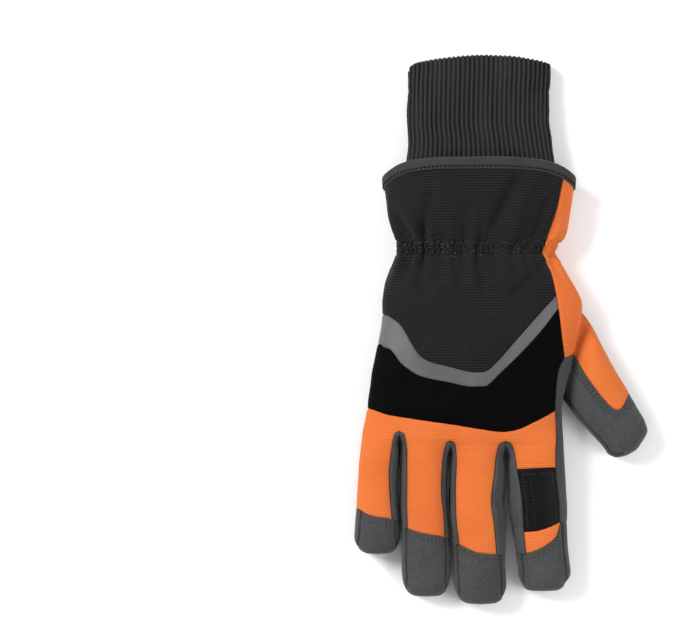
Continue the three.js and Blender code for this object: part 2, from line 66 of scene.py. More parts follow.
LITTLE = [
    (-40, -62.0, 13.5, 28, 1.8), (-60, -69.2, 11.8, 27.4, 1.8), (-73, -70.9, 11.4, 25.8, 1.6),
    (-86, -71.9, 11.4, 24.4, 0.3), (-100, -72.2, 12.0, 23.8, 0), (-114, -72.1, 13.1, 22.6, 0),
    (-121.0, -72.3, 13.2, 21, 0), (-126.0, -72.2, 11.8, 19.2, 0.5), (-129.1, -72.1, 9.4, 16.6, 2),
    (-130.6, -72.0, 6.0, 13.2, 4.6), (-131.0, -72.0, 0.05, 9.1, 9.0),
]
RING = [
    (-40, -45.4, 14.0, 29, 1.8), (-60, -44.8, 13.9, 28, 1.8), (-73.7, -44.8, 14.0, 26.6, 1.6),
    (-90, -45.4, 13.8, 25.2, 0.2), (-103, -45.4, 13.8, 24.8, 0), (-118, -44.3, 14.0, 24.2, 0),
    (-133, -43.8, 14.3, 22.6, 0), (-143.5, -43.8, 14.0, 20.6, 0), (-150, -43.8, 12.6, 18.8, 0.6),
    (-153.6, -43.6, 10.3, 16.4, 2), (-155.4, -43.4, 6.6, 12.8, 4.6), (-155.8, -43.4, 0.05, 9.1, 9.0),
]
MIDDLE = [
    (-40, -14.0, 15.8, 29.4, 1.8), (-60, -13.7, 15.9, 28.4, 1.8), (-73.7, -13.7, 16.0, 27.2, 1.6),
    (-90, -14.1, 16.3, 25.8, 0.2), (-104, -14.4, 16.3, 25.4, 0), (-119, -13.3, 16.0, 24.8, 0),
    (-135, -13.0, 15.3, 23.4, 0), (-147.5, -12.3, 15.2, 21.2, 0), (-154.3, -12.0, 13.5, 19, 0.6),
    (-158.2, -11.8, 11.2, 16.4, 2), (-159.9, -11.6, 7.2, 12.8, 4.6), (-160.3, -11.6, 0.05, 9.1, 9.0),
]
INDEX = [
    (-40, 18.6, 15.6, 29, 1.8), (-60, 19.6, 16.2, 28, 1.8), (-73.7, 20.0, 16.5, 26.8, 1.6),
    (-90, 20.6, 16.9, 25.4, 0.2), (-104, 21.4, 16.8, 24.8, 0), (-117, 22.4, 15.9, 24, 0),
    (-130, 24.0, 15.2, 22.8, 0), (-142, 25.4, 15.1, 20.4, 0), (-147.4, 25.0, 12.9, 18.4, 0.6),
    (-150.7, 24.7, 10.8, 16, 2), (-152.2, 24.6, 7.6, 12.6, 4.6), (-152.6, 24.6, 0.05, 9.1, 9.0),
]
# The thumb has one more column: the angle of its width to the X axis, in degrees
THUMB = [
    (16, 19, 16, 23, 3, 34), (8, 25.8, 17.4, 24, 2.2, 35), (-8, 37.0, 18.8, 25, 1, 36),
    (-19, 44.0, 17.8, 25.8, 0, 37), (-30, 50.4, 17.4, 26, 0, 37), (-41, 57.3, 16.8, 25, 0, 35),
    (-51.5, 64.7, 15.7, 23.6, 0, 31), (-60.8, 71.5, 14.5, 21, 0, 28), (-65.7, 73.6, 13.4, 19, 0.6, 26),
    (-70, 73.4, 9.8, 16.6, 2, 24), (-72.6, 73.4, 5.9, 13, 4.6, 22), (-73.6, 73.4, 0.05, 9.1, 9.0, 22),
]
CUFF = [
    (166, -12.6, 41.4, 17, 0), (152, -12.7, 41.3, 17.4, 0), (142, -13.2, 41.0, 17.8, 0.6),
    (132, -13.5, 40.9, 18.4, 2.6), (122, -13.6, 41.0, 19, 3.6), (110, -12.3, 41.5, 20.4, 3.8),
    (98, -11.8, 43.0, 22.4, 4.6), (84, -12.0, 43.4, 24.2, 5.4), (70, -12.8, 42.4, 24.6, 5.2),
    (58, -13.6, 41.4, 24.2, 4.4), (48, -14.8, 40.2, 23.2, 4.2),
]

# Seams seen from above: x, y
SIDE_SEAM = [
    (37.2, 112), (36.2, 88.3), (34.4, 79), (32.0, 68.4), (28.2, 57), (24.6, 48.5), (23.6, 45.4),
    (25.9, 41.0), (29.6, 31), (32.0, 20.2), (33.7, 8.8), (35.2, -4), (37.0, -16.4),
]
STRIP_SEAM = [
    (37.0, -16.4), (34.6, -20.4), (32.8, -27), (31.9, -39.2), (31.6, -47.2), (32.2, -60.3),
    (31.8, -71.4), (31.9, -80.5), (32.8, -90.1), (33.9, -100.0), (34.4, -112.3), (36.6, -126),
    (39.4, -139),
]
STRIPE_TOP = [
    (-90, 9.6), (-68.1, 8.6), (-63.4, 6.2), (-59.0, 2.8), (-56.1, -1.4), (-52.2, -8.6), (-48.0, -14.8),
    (-44, -17.9), (-30, -21.8), (-15.2, -25.0), (-11, -24.9), (-7.8, -23.6), (-3.4, -19.6), (11.2, -3.2),
    (22.9, 10.0), (33.0, 21.0),
]
STRIPE_LOW = [
    (-90, -7.4), (-72.1, -7.9), (-68.6, -10.4), (-65.2, -11.6), (-62.4, -14.8), (-59.6, -18.8),
    (-54.8, -22.9), (-47.9, -27.0), (-30, -31.0), (-17.8, -33.3), (-9.6, -33.2), (-6.6, -31.2),
    (-1.6, -26.2), (11.2, -13.8), (22.9, -1.0), (34.0, 13.4),
]
KNUCKLE_EDGE = [
    (-90, -44.5), (-78.2, -46.0), (-66, -49.8), (-54, -51.8), (-30.5, -55.3), (-12, -58.2),
    (0.7, -59.8), (7.7, -58.8), (20, -53.6), (32.0, -47.2),
]
# Seam loops round the gaps between the fingers, from the top down the left and the right side
LOOPS = [
    {"left": [(-59.8, -59.3), (-61.6, -60.2), (-62.8, -62.4), (-64.1, -71.4), (-65.4, -84),
              (-65.1, -94.2), (-63.8, -110.6)],
     "right": [(-59.8, -59.3), (-57.6, -60.2), (-56.2, -62.6), (-55.2, -72), (-55.1, -88),
               (-55.1, -100.0), (-54.8, -116.1)], "end": -113.6},
    {"left": [(-29.7, -65.0), (-31.4, -65.9), (-32.6, -68.2), (-34.3, -79.0), (-35.0, -93.6),
              (-33.6, -109), (-32.7, -121.2)],
     "right": [(-29.7, -65.0), (-28.0, -65.9), (-27.0, -68.2), (-26.4, -79.0), (-26.9, -94),
               (-26.6, -108), (-25.0, -125.5)], "end": -123.6},
    {"left": [(2.1, -65.5), (0.2, -66.1), (-1.6, -68.2), (-4.2, -86), (-5.9, -100.0),
              (-4.4, -112), (-2.6, -131.2)],
     "right": [(2.1, -65.5), (4.4, -66.0), (6.0, -68.0), (8.9, -81.4), (11.8, -100.0),
               (13.0, -118.2), (14.3, -130.5)], "end": -131.4},
]
GAP_X = [-59.5, -29.6, 2.2]  # where neighbouring fingers part
CAPS = [
    [(-90, -103), (-83.7, -104.7), (-79, -107.4), (-74.9, -108.8), (-63.8, -110.6), (-59, -113.4)],
    [(-59, -113.4), (-54.8, -116.1), (-45.8, -118.8), (-32.7, -121.2), (-29, -123.6)],
    [(-29, -123.6), (-25.0, -125.5), (-18.3, -128.6), (-12.8, -130.4), (-2.6, -131.2), (4, -131.4)],
    [(4, -131.4), (14.3, -130.5), (21.8, -128.2), (27.1, -125.1), (32.1, -120.6), (34.4, -112.3)],
]
PATCH_TOP = [(8.8, -81.4), (31.9, -80.5)]
PATCH_LOW = [(13.0, -118.2), (20.9, -117.3), (27.1, -115.5), (34.4, -112.3)]
THUMB_SEAM = [
    (33.5, -15.2), (41.8, -14.6), (46.2, -22.8), (52.1, -31.0), (57.9, -38.6), (62.6, -43.9),
    (66.1, -46.6), (68.2, -46.9), (69.9, -46.0), (71.6, -43.6), (73.4, -40.2), (74.6, -37.2),
]

# Seams and ribs
CORNER_Y = -16.4  # where the side panel's seam ends and the index finger's strip begins
RIB_BLACK, RIB_ORANGE = 1.58, 1.27  # spacing of the ribs of the cloths
RIB_HIGH = {RIB_BLACK: 0.12, RIB_ORANGE: 0.07}  # half heights of the ribs


def column(rows, index):
    """One column of a table."""
    return np.array([row[index] for row in rows], float)


def spline(x, y, at):
    """A smooth curve through the points (x, y): cubic pieces whose slope at each point is the
    weighted harmonic mean of its neighbours' slopes, or 0 where they differ in sign."""
    h = np.diff(x)
    d = np.diff(y) / h
    same = d[1:] * d[:-1] > 0
    before = np.where(same, d[:-1], 1)
    after = np.where(same, d[1:], 1)
    a, b = 2 * h[1:] + h[:-1], h[1:] + 2 * h[:-1]
    slope = np.empty(len(y))
    slope[1:-1] = np.where(same, (a + b) / (a / before + b / after), 0)
    slope[0], slope[-1] = d[0], d[-1]
    i = np.clip(np.searchsorted(x, at) - 1, 0, len(x) - 2)
    t = (at - x[i]) / h[i]
    t2, t3 = t * t, t * t * t
    return (y[i] * (2 * t3 - 3 * t2 + 1) + y[i + 1] * (3 * t2 - 2 * t3)
            + h[i] * (slope[i] * (t3 - 2 * t2 + t) + slope[i + 1] * (t3 - t2)))


def curve_x(points, y):
    """x of a seam at y, for a seam that runs along the glove."""
    return spline(-column(points, 1), column(points, 0), -np.asarray(y, float))


def curve_y(points, x):
    """y of a seam at x, for a seam that runs across the glove."""
    return spline(column(points, 0), column(points, 1), np.asarray(x, float))


def step(t):
    """0 below 0, 1 above 1, and an S between."""
    t = np.clip(t, 0, 1)
    return t * t * (3 - 2 * t)


def mix(a, b, t):
    """From a at t = 0 to b at t = 1."""
    return a + (b - a) * t


def bell(x, wide):
    """1 at 0, falling off smoothly on both sides."""
    return np.exp(-(x / wide) ** 2)


def rolled(d, radius):
    """How far a rolled edge has dropped at distance d from it, from 1 to 0: a quarter circle."""
    return 1 - np.sqrt(1 - np.clip(1 - d / radius, 0, 1) ** 2)


def round_off(w, power):
    """Half width of a superellipse at height w, both as shares."""
    return (1 - w ** power) ** (1 / power)


def lengths(line):
    """Distance run along a line, at each of its points."""
    return np.concatenate([[0], np.cumsum(np.linalg.norm(np.diff(line, axis=0), axis=1))])


def even(line, count):
    """Points evenly spaced along a line."""
    line = np.array(line, float)
    run = lengths(line)
    at = np.linspace(0, run[-1], count)
    return np.stack([np.interp(at, run, line[:, k]) for k in range(line.shape[1])], -1)


def beside(line, away):
    """A line moved to its left, as seen along it, by a distance."""
    along = np.gradient(line, axis=0)
    along /= np.maximum(np.linalg.norm(along, axis=1, keepdims=True), 1e-9)
    return line + away * np.stack([-along[:, 1], along[:, 0]], -1)


def noise(p, size, seed):
    """Soft random bumps from -1 to 1: random values on a lattice of that size, joined by an
    S-shaped step along each axis."""
    lattice = np.random.default_rng(seed).uniform(-1, 1, (24, 24, 24))
    q = p / size + 500.0
    cell = np.floor(q).astype(int)
    f = step(q - cell)
    total = 0.0
    for corner in np.ndindex(2, 2, 2):
        c = (cell + corner) % 24
        weight = np.prod(np.where(np.array(corner) == 1, f, 1 - f), axis=-1)
        total = total + weight * lattice[c[..., 0], c[..., 1], c[..., 2]]
    return total


def noise_along(x, size, seed):
    """The same along one line."""
    return noise(np.stack([x, 0 * x, 0 * x], -1), size, seed)


class Tube:
    """A tube of cloth through a table of sections. A place on it is a share round the section,
    from 0 at the -X side over the top to the +X side and back under to 1, and a place along."""

    def __init__(self, rows):
        """Shares are lengths along the middle section's superellipse, over its whole girth."""
        self.rows = rows
        self.steps = np.arange(len(rows), dtype=float)
        self.fine = np.linspace(0, len(rows) - 1, 40 * len(rows))
        self.fine_y = self.value(0, self.fine)
        angle = np.linspace(0, 2 * np.pi, 24001)
        power = 2 / np.where(angle <= np.pi, ROUND_TOP, FLAT_UNDERSIDE)
        cos, sin = np.cos(angle), np.sin(angle)
        self.u = -np.sign(cos) * np.abs(cos) ** power
        self.w = np.sign(sin) * np.abs(sin) ** power
        middle = rows[len(rows) // 2]
        tall = (middle[3] - middle[4]) / middle[2] * np.where(self.w > 0, 1 - MID_SHARE, MID_SHARE)
        run = np.hypot(np.diff(self.u), np.diff(self.w * tall))
        self.s = np.concatenate([[0], np.cumsum(run)])
        self.girth = self.s[-1] * middle[2]
        self.s = self.s / self.s[-1]
        self.half_turn = len(angle) // 2

    def value(self, index, t):
        """A column of the table at places t along."""
        return spline(self.steps, column(self.rows, index), t)

    def along(self, y):
        """The place along the tube at y."""
        return np.interp(-np.asarray(y, float), -self.fine_y, self.fine)

    def heights(self, t):
        """Heights of the top, of the widest line and of the underside."""
        top, low = self.value(3, t), self.value(4, t)
        return top, low + MID_SHARE * (top - low), low

    def place(self, s, t):
        """Points at shares s round and places t along: a superellipse, rounder on top and
        flatter below, turned by the row's angle."""
        s, t = np.broadcast_arrays(s, t)
        u = np.interp(s % 1, self.s, self.u)
        w = np.interp(s % 1, self.s, self.w)
        top, mid, low = self.heights(t)
        half = self.value(2, t) * u
        turn = np.radians(self.value(5, t)) if len(self.rows[0]) > 5 else 0.0
        z = mid + w * np.where(w > 0, top - mid, mid - low)
        return np.stack([self.value(1, t) + half * np.cos(turn),
                         self.value(0, t) + half * np.sin(turn), z], -1)

    def at(self, s, y):
        """Points at shares s round the section at y."""
        return self.place(s, self.along(y))

    def across(self, x, y):
        """x as a share of the half width, from the middle line."""
        t = self.along(y)
        return np.clip((x - self.value(1, t)) / self.value(2, t), -0.985, 0.985)

    def over(self, x, y):
        """The share round the section of the point on top at x, y."""
        k = self.half_turn
        return np.interp(self.across(x, y), self.u[:k + 1], self.s[:k + 1])

    def under(self, x, y):
        """The same on the underside."""
        k = self.half_turn
        return np.interp(-self.across(x, y), -self.u[k:], self.s[k:])

    def side(self, z, y, right):
        """The same on the right or left side, at a height below the widest line."""
        _, mid, low = self.heights(self.along(y))
        w = np.clip((mid - z) / (mid - low), 0, 0.98)
        k = self.half_turn
        q = k + k // 2
        if right:
            return np.interp(w, -self.w[k:q], self.s[k:q])
        return np.interp(w, -self.w[q:][::-1], self.s[q:][::-1]) - 1

    def find(self, points):
        """Shares round and places along of the points on top nearest to x, y: the best of a
        coarse grid, then three times the best of a finer grid round it."""
        q = np.array(points, float)
        s, t = np.meshgrid(np.linspace(0, 0.5, 160), np.linspace(0, len(self.rows) - 1.02, 240))
        p = self.place(s, t)[..., :2].reshape(-1, 2)
        near = np.array([int(np.argmin(((p - one) ** 2).sum(1))) for one in q])
        s, t = s.ravel()[near], t.ravel()[near]
        wide_s, wide_t = 0.01, 0.1
        k = np.linspace(-1, 1, 9)
        for _ in range(3):
            ds, dt = [v.ravel() for v in np.meshgrid(k * wide_s, k * wide_t)]
            p = self.place(s[:, None] + ds, t[:, None] + dt)[..., :2]
            best = ((p - q[:, None]) ** 2).sum(-1).argmin(1)
            s, t = s + ds[best], t + dt[best]
            wide_s, wide_t = wide_s / 3, wide_t / 3
        return s, t


hand = Tube(HAND)
fingers = [Tube(LITTLE), Tube(RING), Tube(MIDDLE), Tube(INDEX)]
thumb = Tube(THUMB)
cuff = Tube(CUFF)


def spread(count, tight=0.55):
    """Shares from 0 to 1, closer together near both ends."""
    t = np.linspace(0, 1, count)
    return mix(t, 0.5 - 0.5 * np.cos(np.pi * t), tight)


def shares(rows, columns, tight_down=0.2, tight_across=0.2):
    """Shares down the rows and across the columns of a grid."""
    return np.meshgrid(spread(rows, tight_down), spread(columns, tight_across), indexing="ij")


class Cloth:
    """A grid of points with normals. Rows run from the cuff towards the fingertips and columns from the -X
    side over the top, so that the cross product of the two directions points outwards."""

    runs_on = None  # shares along the l and r edges where the cloth goes on instead of down

    def __init__(self, points):
        self.p = points
        self.crest = np.ones(points.shape[:2])  # 0 in grooves, 1 on crests; the materials paint shade into the grooves from it
        self.aim()

    def aim(self):
        """Unit normals from the cross product of the grid's two directions."""
        n = np.cross(np.gradient(self.p, axis=0), np.gradient(self.p, axis=1))
        size = np.linalg.norm(n, axis=-1, keepdims=True)
        self.n = n / np.maximum(size, 1e-9)
        return self

    def rib(self, y, pitch):
        """Rounded ribs along lines of equal y: the root of a raised cosine, whose crest share the
        materials use for painted shade in the grooves.
        """
        self.crest = np.sqrt(0.5 + 0.5 * np.cos(2 * np.pi * y / pitch))
        return self.lift(RIB_HIGH[pitch] * (2 * self.crest - 1))

    def lift(self, height):
        """Moves each point along its normal."""
        self.p = self.p + self.n * np.asarray(height)[..., None]
        return self

    def reach(self, edges):
        """Distance along the grid to the nearest of the named edges: l, r, t or b."""
        across = np.linalg.norm(np.diff(self.p, axis=1), axis=-1)
        down = np.linalg.norm(np.diff(self.p, axis=0), axis=-1)
        left = np.pad(np.cumsum(across, 1), ((0, 0), (1, 0)))
        top = np.pad(np.cumsum(down, 0), ((1, 0), (0, 0)))
        all_four = {"l": left, "r": left[:, -1:] - left, "t": top, "b": top[-1:] - top}
        return np.min([all_four[e] for e in edges], axis=0)

    def seam(self, edges, depth=0.8, radius=1.5, puff=0.0):
        """Rolls the cloth down into its seams: a quarter circle at the edge, and a slower rise
        towards the middle."""
        return self.sink(self.reach(edges), depth, radius, puff)

    def sink(self, d, depth, radius, puff):
        """The same with the distances d from the seams given."""
        return self.lift(puff * (1 - np.exp(-d / PUFF_RISE)) - depth * rolled(d, radius))

    def row(self, edge, inset):
        """Points and normals of a line at a distance from an edge, along the whole edge."""
        p, n = self.p, self.n
        if edge in "lr":
            p, n = p.transpose(1, 0, 2), n.transpose(1, 0, 2)
        if edge in "rb":
            p, n = p[::-1], n[::-1]
        run = np.pad(np.cumsum(np.linalg.norm(np.diff(p, axis=0), axis=-1), 0), ((1, 0), (0, 0)))
        i = np.clip((run < inset).sum(0) - 1, 0, len(p) - 2)
        j = np.arange(p.shape[1])
        share = (inset - run[i, j]) / np.maximum(run[i + 1, j] - run[i, j], 1e-9)
        share = np.clip(share, 0, 1)[:, None]
        return mix(p[i, j], p[i + 1, j], share), mix(n[i, j], n[i + 1, j], share)


def patch(left, right, top, low, rows, columns):
    """A panel on the hand, between the shares left(y) and right(y) and the lines top(s) and
    low(s). Each point's share and y are found by going four times from one to the other."""
    i, j = shares(rows, columns, 0.55, 0.55)
    y = mix(top(0.25) + 0 * i, low(0.25) + 0 * i, i)
    for _ in range(4):
        s = mix(left(y), right(y), j)
        y = mix(top(s), low(s), i)
    return s, y


# Relief shared by neighbouring panels, so that their seams stay together
# Soft folds of the back: x, y of both ends, half width and depth
FOLDS = [
    (9, 87, -9, 53, 4.0, -3.2), (19, 86, 4, 55, 5.0, 2.0), (-42, 77, -46, 56, 3.6, -2.4),
    (-33, 84, -36, 58, 5.0, 1.1), (26, 74, 17, 54, 3.6, -2.0), (-20, 70, -20, 56, 3.4, -1.5),
    (-64, 72, -54, 54, 4, -1.4), (25, 38, 8, 20, 3.8, -1.8), (-56, 38, -44, 22, 3.8, -1.7),
    (-28, 42, -24, 24, 3.2, -1.5), (-8, 42, -10, 24, 3.2, -1.4), (6, 41, 2, 27, 4, 0.8),
    (-62, -32, -36, -38, 6, -0.7), (-10, -42, 18, -34, 7, -0.7), (-50, 6, -30, 2, 9, 0.5),
]
PALM_FOLDS = [
    (34, -38, 18, 12, 4.0, -1.1), (40, -22, 25, 12, 3.5, 0.7), (-66, -42, -68, -8, 4, -0.6),
    (8, 34, 4, 60, 3, -0.9), (-14, 36, -16, 62, 3, -0.8), (-34, 38, -35, 60, 3, -0.9),
    (-52, 38, -50, 60, 3, -0.7),
]


def folds(p, lines=FOLDS, side=1):
    """Sum of long shallow folds on the back, or on the palm for side -1, each a bell across its
    line."""
    total = np.zeros(p.shape[:-1])
    for ax, ay, bx, by, wide, deep in lines:
        dx, dy = bx - ax, by - ay
        x, y = p[..., 0] - ax, p[..., 1] - ay
        t = np.clip((x * dx + y * dy) / (dx * dx + dy * dy), 0, 1)
        total += deep * bell(np.hypot(x - t * dx, y - t * dy), wide)
    return total * step((p[..., 2] * side - (10 if side > 0 else -8)) / 10)


def gathers(s, y):
    """Puckers that fan out from the elastic at the wrist: waves round the hand whose spacing
    wanders. Small ones stand between the two rows of elastic, and broad ones fade above and
    below them over a finger's breadth. Both rows are pulled in."""
    round_mm = s * hand.girth + 0 * y
    under = step((s % 1 - 0.5) / 0.06) * step((1 - s % 1) / 0.06)
    up = y - GATHER_Y
    away = np.abs(up)
    lean = 0.05 * up * noise_along(round_mm, 30.0, 31)
    small = round_mm / SMALL_PUCKER + 0.7 * noise_along(round_mm, 8.0, 3) + lean
    small = 2 * np.pi * small + 1.2 * np.sin(up * 1.3)
    wide = 2 * np.pi * (round_mm / WIDE_PUCKER + 0.6 * noise_along(round_mm, 19.0, 5) + lean * 0.6)
    height = 0.8 * np.exp(-(up / 4.6) ** 4) * np.cos(small)
    height = height + 0.5 * bell(away - 6.0, 5.5) * np.cos(small * 0.5 + 1)
    height = height + mix(1.0, 1.1, under) * bell(away - 8, 11.0) * np.cos(wide)
    uneven = 0.95 + 0.45 * noise_along(round_mm, 12.0, 8)
    return uneven * height - 0.7 * bell(away - 3.7, 1.1)


def softness(p):
    """Slow unevenness of padded cloth."""
    return 0.5 * noise(p, 21.0, 1) + 0.16 * noise(p, 8.5, 2)


def bent(s, y):
    """y as the ribs have it: they run along the hem near the mouth, and waver at the gathers."""
    near_hem = step((y - 50) / 48)
    waver = 0.55 * bell(y - GATHER_Y, 17) * gathers(s, y)
    where = np.stack([s * hand.girth, y / 2, 0 * y], -1)
    return y - near_hem * (hem(s) - 93) * 0.8 + waver + 0.35 * noise(where, 17.0, 41)


# Lines of the seams in the hand's own measures
def left_seam(y):
    """Share round the hand of the seam along the little finger's side."""
    return hand.side(SEAM_Z, y, False)


def under_seam(y):
    """Edge of the side panel on the hand: under the gauntlet, then up the side to its tip."""
    y = np.asarray(y, float)
    marks = [
        (112, hand.under(14.7, 100)), (47.6, hand.under(15.0, 47.6)), (41.5, hand.under(17.2, 41.5)),
        (33, hand.under(24.6, 33)), (24.2, hand.under(32, 24.2)), (12, hand.side(6, 12, True)),
        (2, hand.side(9, 2, True)), (-8, hand.side(10, -8, True)),
        (-12.6, hand.side(12.5, -12.6, True)), (-14.6, hand.over(41.2, -14.6)),
        (CORNER_Y, hand.over(37.2, CORNER_Y)),
    ]
    return spline(-column(marks, 0), column(marks, 1), -np.clip(y, CORNER_Y, 112))


def hem(s):
    """y of the mouth's edge, which leans back to the cuff with height."""
    y = np.full(np.shape(s), HEM_Y + 10)
    for _ in range(3):
        z = hand.at(s, y)[..., 2]
        y = HEM_Y + HEM_SLOPE * z - 2.8 * step((30 - z) / 10) * step((z - 6) / 8)
    return y


def across_line(points):
    """A seam across the back, as a function of the share round the hand."""
    x = np.linspace(points[0][0], points[-1][0], 400)
    y = curve_y(points, x)
    s = hand.over(x, y)
    keep = np.concatenate([np.diff(s) > 1e-5, [True]])
    return lambda at: np.interp(at, s[keep], y[keep])


stripe_top, stripe_low, knuckle_line = map(across_line, (STRIPE_TOP, STRIPE_LOW, KNUCKLE_EDGE))


# Pieces
def quads(rows, columns, start):
    """Corner numbers of a grid's faces, turned so that they face along the normals."""
    a = np.arange((rows - 1) * columns).reshape(rows - 1, columns)[:, :-1].ravel() + start
    return np.stack([a, a + columns, a + columns + 1, a + 1], 1)


EDGES = {"t": np.s_[0, :], "b": np.s_[-1, :], "l": np.s_[:, 0], "r": np.s_[:, -1]}
SKIRT = 2.2  # how far an edge turns in under its neighbour
FLOOR_GAP = 0.02  # no cloth comes nearer to the floor


def skirted(cloth, edges):
    """Points and crests of a grid with one more row on each named edge, turned in against the
    normals. Where the cloth runs on, that row goes on outwards instead."""
    pads = (int("t" in edges), int("b" in edges)), (int("l" in edges), int("r" in edges))
    p, n = (np.pad(v, (*pads, (0, 0)), "edge") for v in (cloth.p, cloth.n))
    if cloth.runs_on:
        for at, near, share in ((0, 2, cloth.runs_on[0]), (-1, -3, cloth.runs_on[1])):
            share = np.pad(share, pads[0], "edge")[:, None]
            away = p[:, at] - p[:, near]
            away = away / np.linalg.norm(away, axis=-1, keepdims=True)
            n[:, at] = mix(n[:, at], 0.06 * n[:, at] - 0.6 * away, share)
    deep = np.zeros(p.shape[:2])
    for edge in edges:
        deep[EDGES[edge]] = SKIRT
    p = p - n * deep[..., None]
    p[..., 2] = np.maximum(p[..., 2], FLOOR_GAP)
    return p, np.pad(cloth.crest, pads, "edge")


def piece(name, cloths, material, node, skirts="lrtb"):
    """One mesh from one or more grids, each with its named edges turned in."""
    points, faces, crests, start = [], [], [], 0
    for k, cloth in enumerate(cloths):
        p, crest = skirted(cloth, skirts[k] if isinstance(skirts, list) else skirts)
        points.append(p.reshape(-1, 3))
        crests.append(crest.ravel())
        faces.append(quads(*p.shape[:2], start))
        start += crest.size
    points, faces, crests = (np.concatenate(rows) for rows in (points, faces, crests))
    thing = make(name, points, faces, material, crests)
    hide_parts(node)
    return thing


def make(name, points, faces, material, crests=None):
    """A mesh object from points in millimetres and faces of four corners."""
    mesh = bpy.data.meshes.new(name)
    mesh.vertices.add(len(points))
    mesh.vertices.foreach_set("co", (points * MM).astype(np.float32).ravel())
    mesh.loops.add(faces.size)
    mesh.loops.foreach_set("vertex_index", faces.astype(np.int32).ravel())
    mesh.polygons.add(len(faces))
    mesh.polygons.foreach_set("loop_start", np.arange(0, faces.size, 4, dtype=np.int32))
    mesh.polygons.foreach_set("use_smooth", np.ones(len(faces), bool))
    mesh.update(calc_edges=True)
    mesh.validate()
    mesh.materials.append(material)
    if crests is not None:
        layer = mesh.attributes.new("crest", "FLOAT", "POINT")
        layer.data.foreach_set("value", crests.astype(np.float32))
    thing = bpy.data.objects.new(name, mesh)
    bpy.context.scene.collection.objects.link(thing)
    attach(thing, "root")
    return thing


# Materials
class Value:
    """A shader value that takes part in sums like a number."""

    def __init__(self, kit, socket):
        self.kit, self.socket = kit, socket

    def __add__(self, other):
        return self.kit.sum("ADD", self, other)

    def __sub__(self, other):
        return self.kit.sum("SUBTRACT", self, other)

    def __rsub__(self, other):
        return self.kit.sum("SUBTRACT", other, self)

    def __mul__(self, other):
        return self.kit.sum("MULTIPLY", self, other)

    def __pow__(self, other):
        return self.kit.sum("POWER", self, other)

    __radd__ = __add__
    __rmul__ = __mul__


class Kit:
    """A material and the means to add its nodes."""

    def __init__(self, name, roughness, sheen=0.0, specular=0.3):
        self.material = bpy.data.materials.new(name)
        self.material.use_nodes = True
        self.tree = self.material.node_tree
        self.surface = self.tree.nodes["Principled BSDF"]
        self.put(self.surface, {"Roughness": roughness, "Sheen Weight": sheen, "Sheen Roughness": 0.45,
                                "Specular IOR Level": specular})
        self.place = self.add("ShaderNodeTexCoord").outputs["Object"]
        xyz = self.add("ShaderNodeSeparateXYZ", {}, {"Vector": self.place})
        self.x, self.y, self.z = (Value(self, xyz.outputs[i]) for i in range(3))

    def put(self, node, inputs):
        """Joins nodes' outputs to a node's inputs, and sets plain values on them."""
        for key, value in inputs.items():
            socket = node.inputs[key]
            if isinstance(value, Value):
                value = value.socket
            if isinstance(value, bpy.types.NodeSocket):
                self.tree.links.new(value, socket)
            else:
                socket.default_value = value

    def add(self, kind, settings=None, inputs=None):
        """A new node."""
        node = self.tree.nodes.new(kind)
        for key, value in (settings or {}).items():
            setattr(node, key, value)
        self.put(node, inputs or {})
        return node

    def sum(self, operation, a, b=0.0):
        """One operation of arithmetic."""
        node = self.add("ShaderNodeMath", {"operation": operation}, {0: a, 1: b})
        return Value(self, node.outputs[0])

    def crest(self):
        """0 in the grooves and 1 on the crests of the ribs, for painted shade in the grooves."""
        return Value(self, self.add("ShaderNodeAttribute", {"attribute_name": "crest"}).outputs["Fac"])

    def clamp(self, a):
        """The value, kept between 0 and 1."""
        node = self.add("ShaderNodeMath", {"operation": "MULTIPLY", "use_clamp": True}, {0: a, 1: 1.0})
        return Value(self, node.outputs[0])

    def wave(self, value, pitch):
        """A sine from 0 to 1 with that spacing in millimetres along a coordinate."""
        return self.sum("SINE", value * (2 * math.pi / (pitch * MM))) * 0.5 + 0.5

    def noise(self, size, detail=2.0, stretch=(1, 1, 1)):
        """Noise from about 0 to 1 with features of that size in millimetres."""
        place = self.place
        if stretch != (1, 1, 1):
            turned = self.add("ShaderNodeVectorMath", {"operation": "MULTIPLY"}, {0: place, 1: stretch})
            place = turned.outputs[0]
        scale = 1 / (size * MM)
        node = self.add("ShaderNodeTexNoise", {}, {"Vector": place, "Scale": scale, "Detail": detail})
        return Value(self, node.outputs["Fac"])

    def blend(self, share, a, b):
        """A colour between a and b."""
        node = self.add("ShaderNodeMix", {"data_type": "RGBA"}, {0: share, 6: a, 7: b})
        return node.outputs[2]

    def done(self, color, height=None, deep=0.1, roughness=None):
        """Joins colour, relief of that depth in millimetres, and roughness to the surface."""
        inputs = {"Base Color": color}
        if roughness is not None:
            inputs["Roughness"] = roughness
        if height is not None:
            bump = self.add("ShaderNodeBump", {}, {"Height": height, "Distance": deep * MM})
            inputs["Normal"] = bump.outputs[0]
        self.put(self.surface, inputs)
        return self.material


BRIGHT = 1.46  # how much light falls on the glove; colours are given as they look in it


def rgb(r, g, b):
    """A colour given as it looks in the picture, from 0 to 255, as the cloth's own."""
    linear = (((v / 255 + 0.055) / 1.055) ** 2.4 if v > 10 else v / 3295 for v in (r, g, b))
    return tuple(v / BRIGHT for v in linear) + (1.0,)


def knit_material():
    """Charcoal rib knit: small rows of loops, fuzzy, paler on the crests, with painted shade in the
    grooves between the ribs.
    """
    kit = Kit("knit", 0.95, sheen=0.08, specular=0.08)
    crest = kit.crest()
    loops = kit.wave(kit.y + kit.noise(9) * 0.0012, 1.4)
    fuzz = kit.noise(0.7, 4.0)
    patchy = kit.noise(24, 3.0)
    # painted shade: darker where the crest falls into the ribs' grooves
    tone = kit.clamp(crest ** 1.3 * (0.45 + loops * 0.25) + fuzz * 0.35 + patchy * 0.3 - 0.2)
    return kit.done(kit.blend(tone, rgb(27, 27, 28), rgb(66, 66, 67)), loops * 0.7 + fuzz, 0.3)


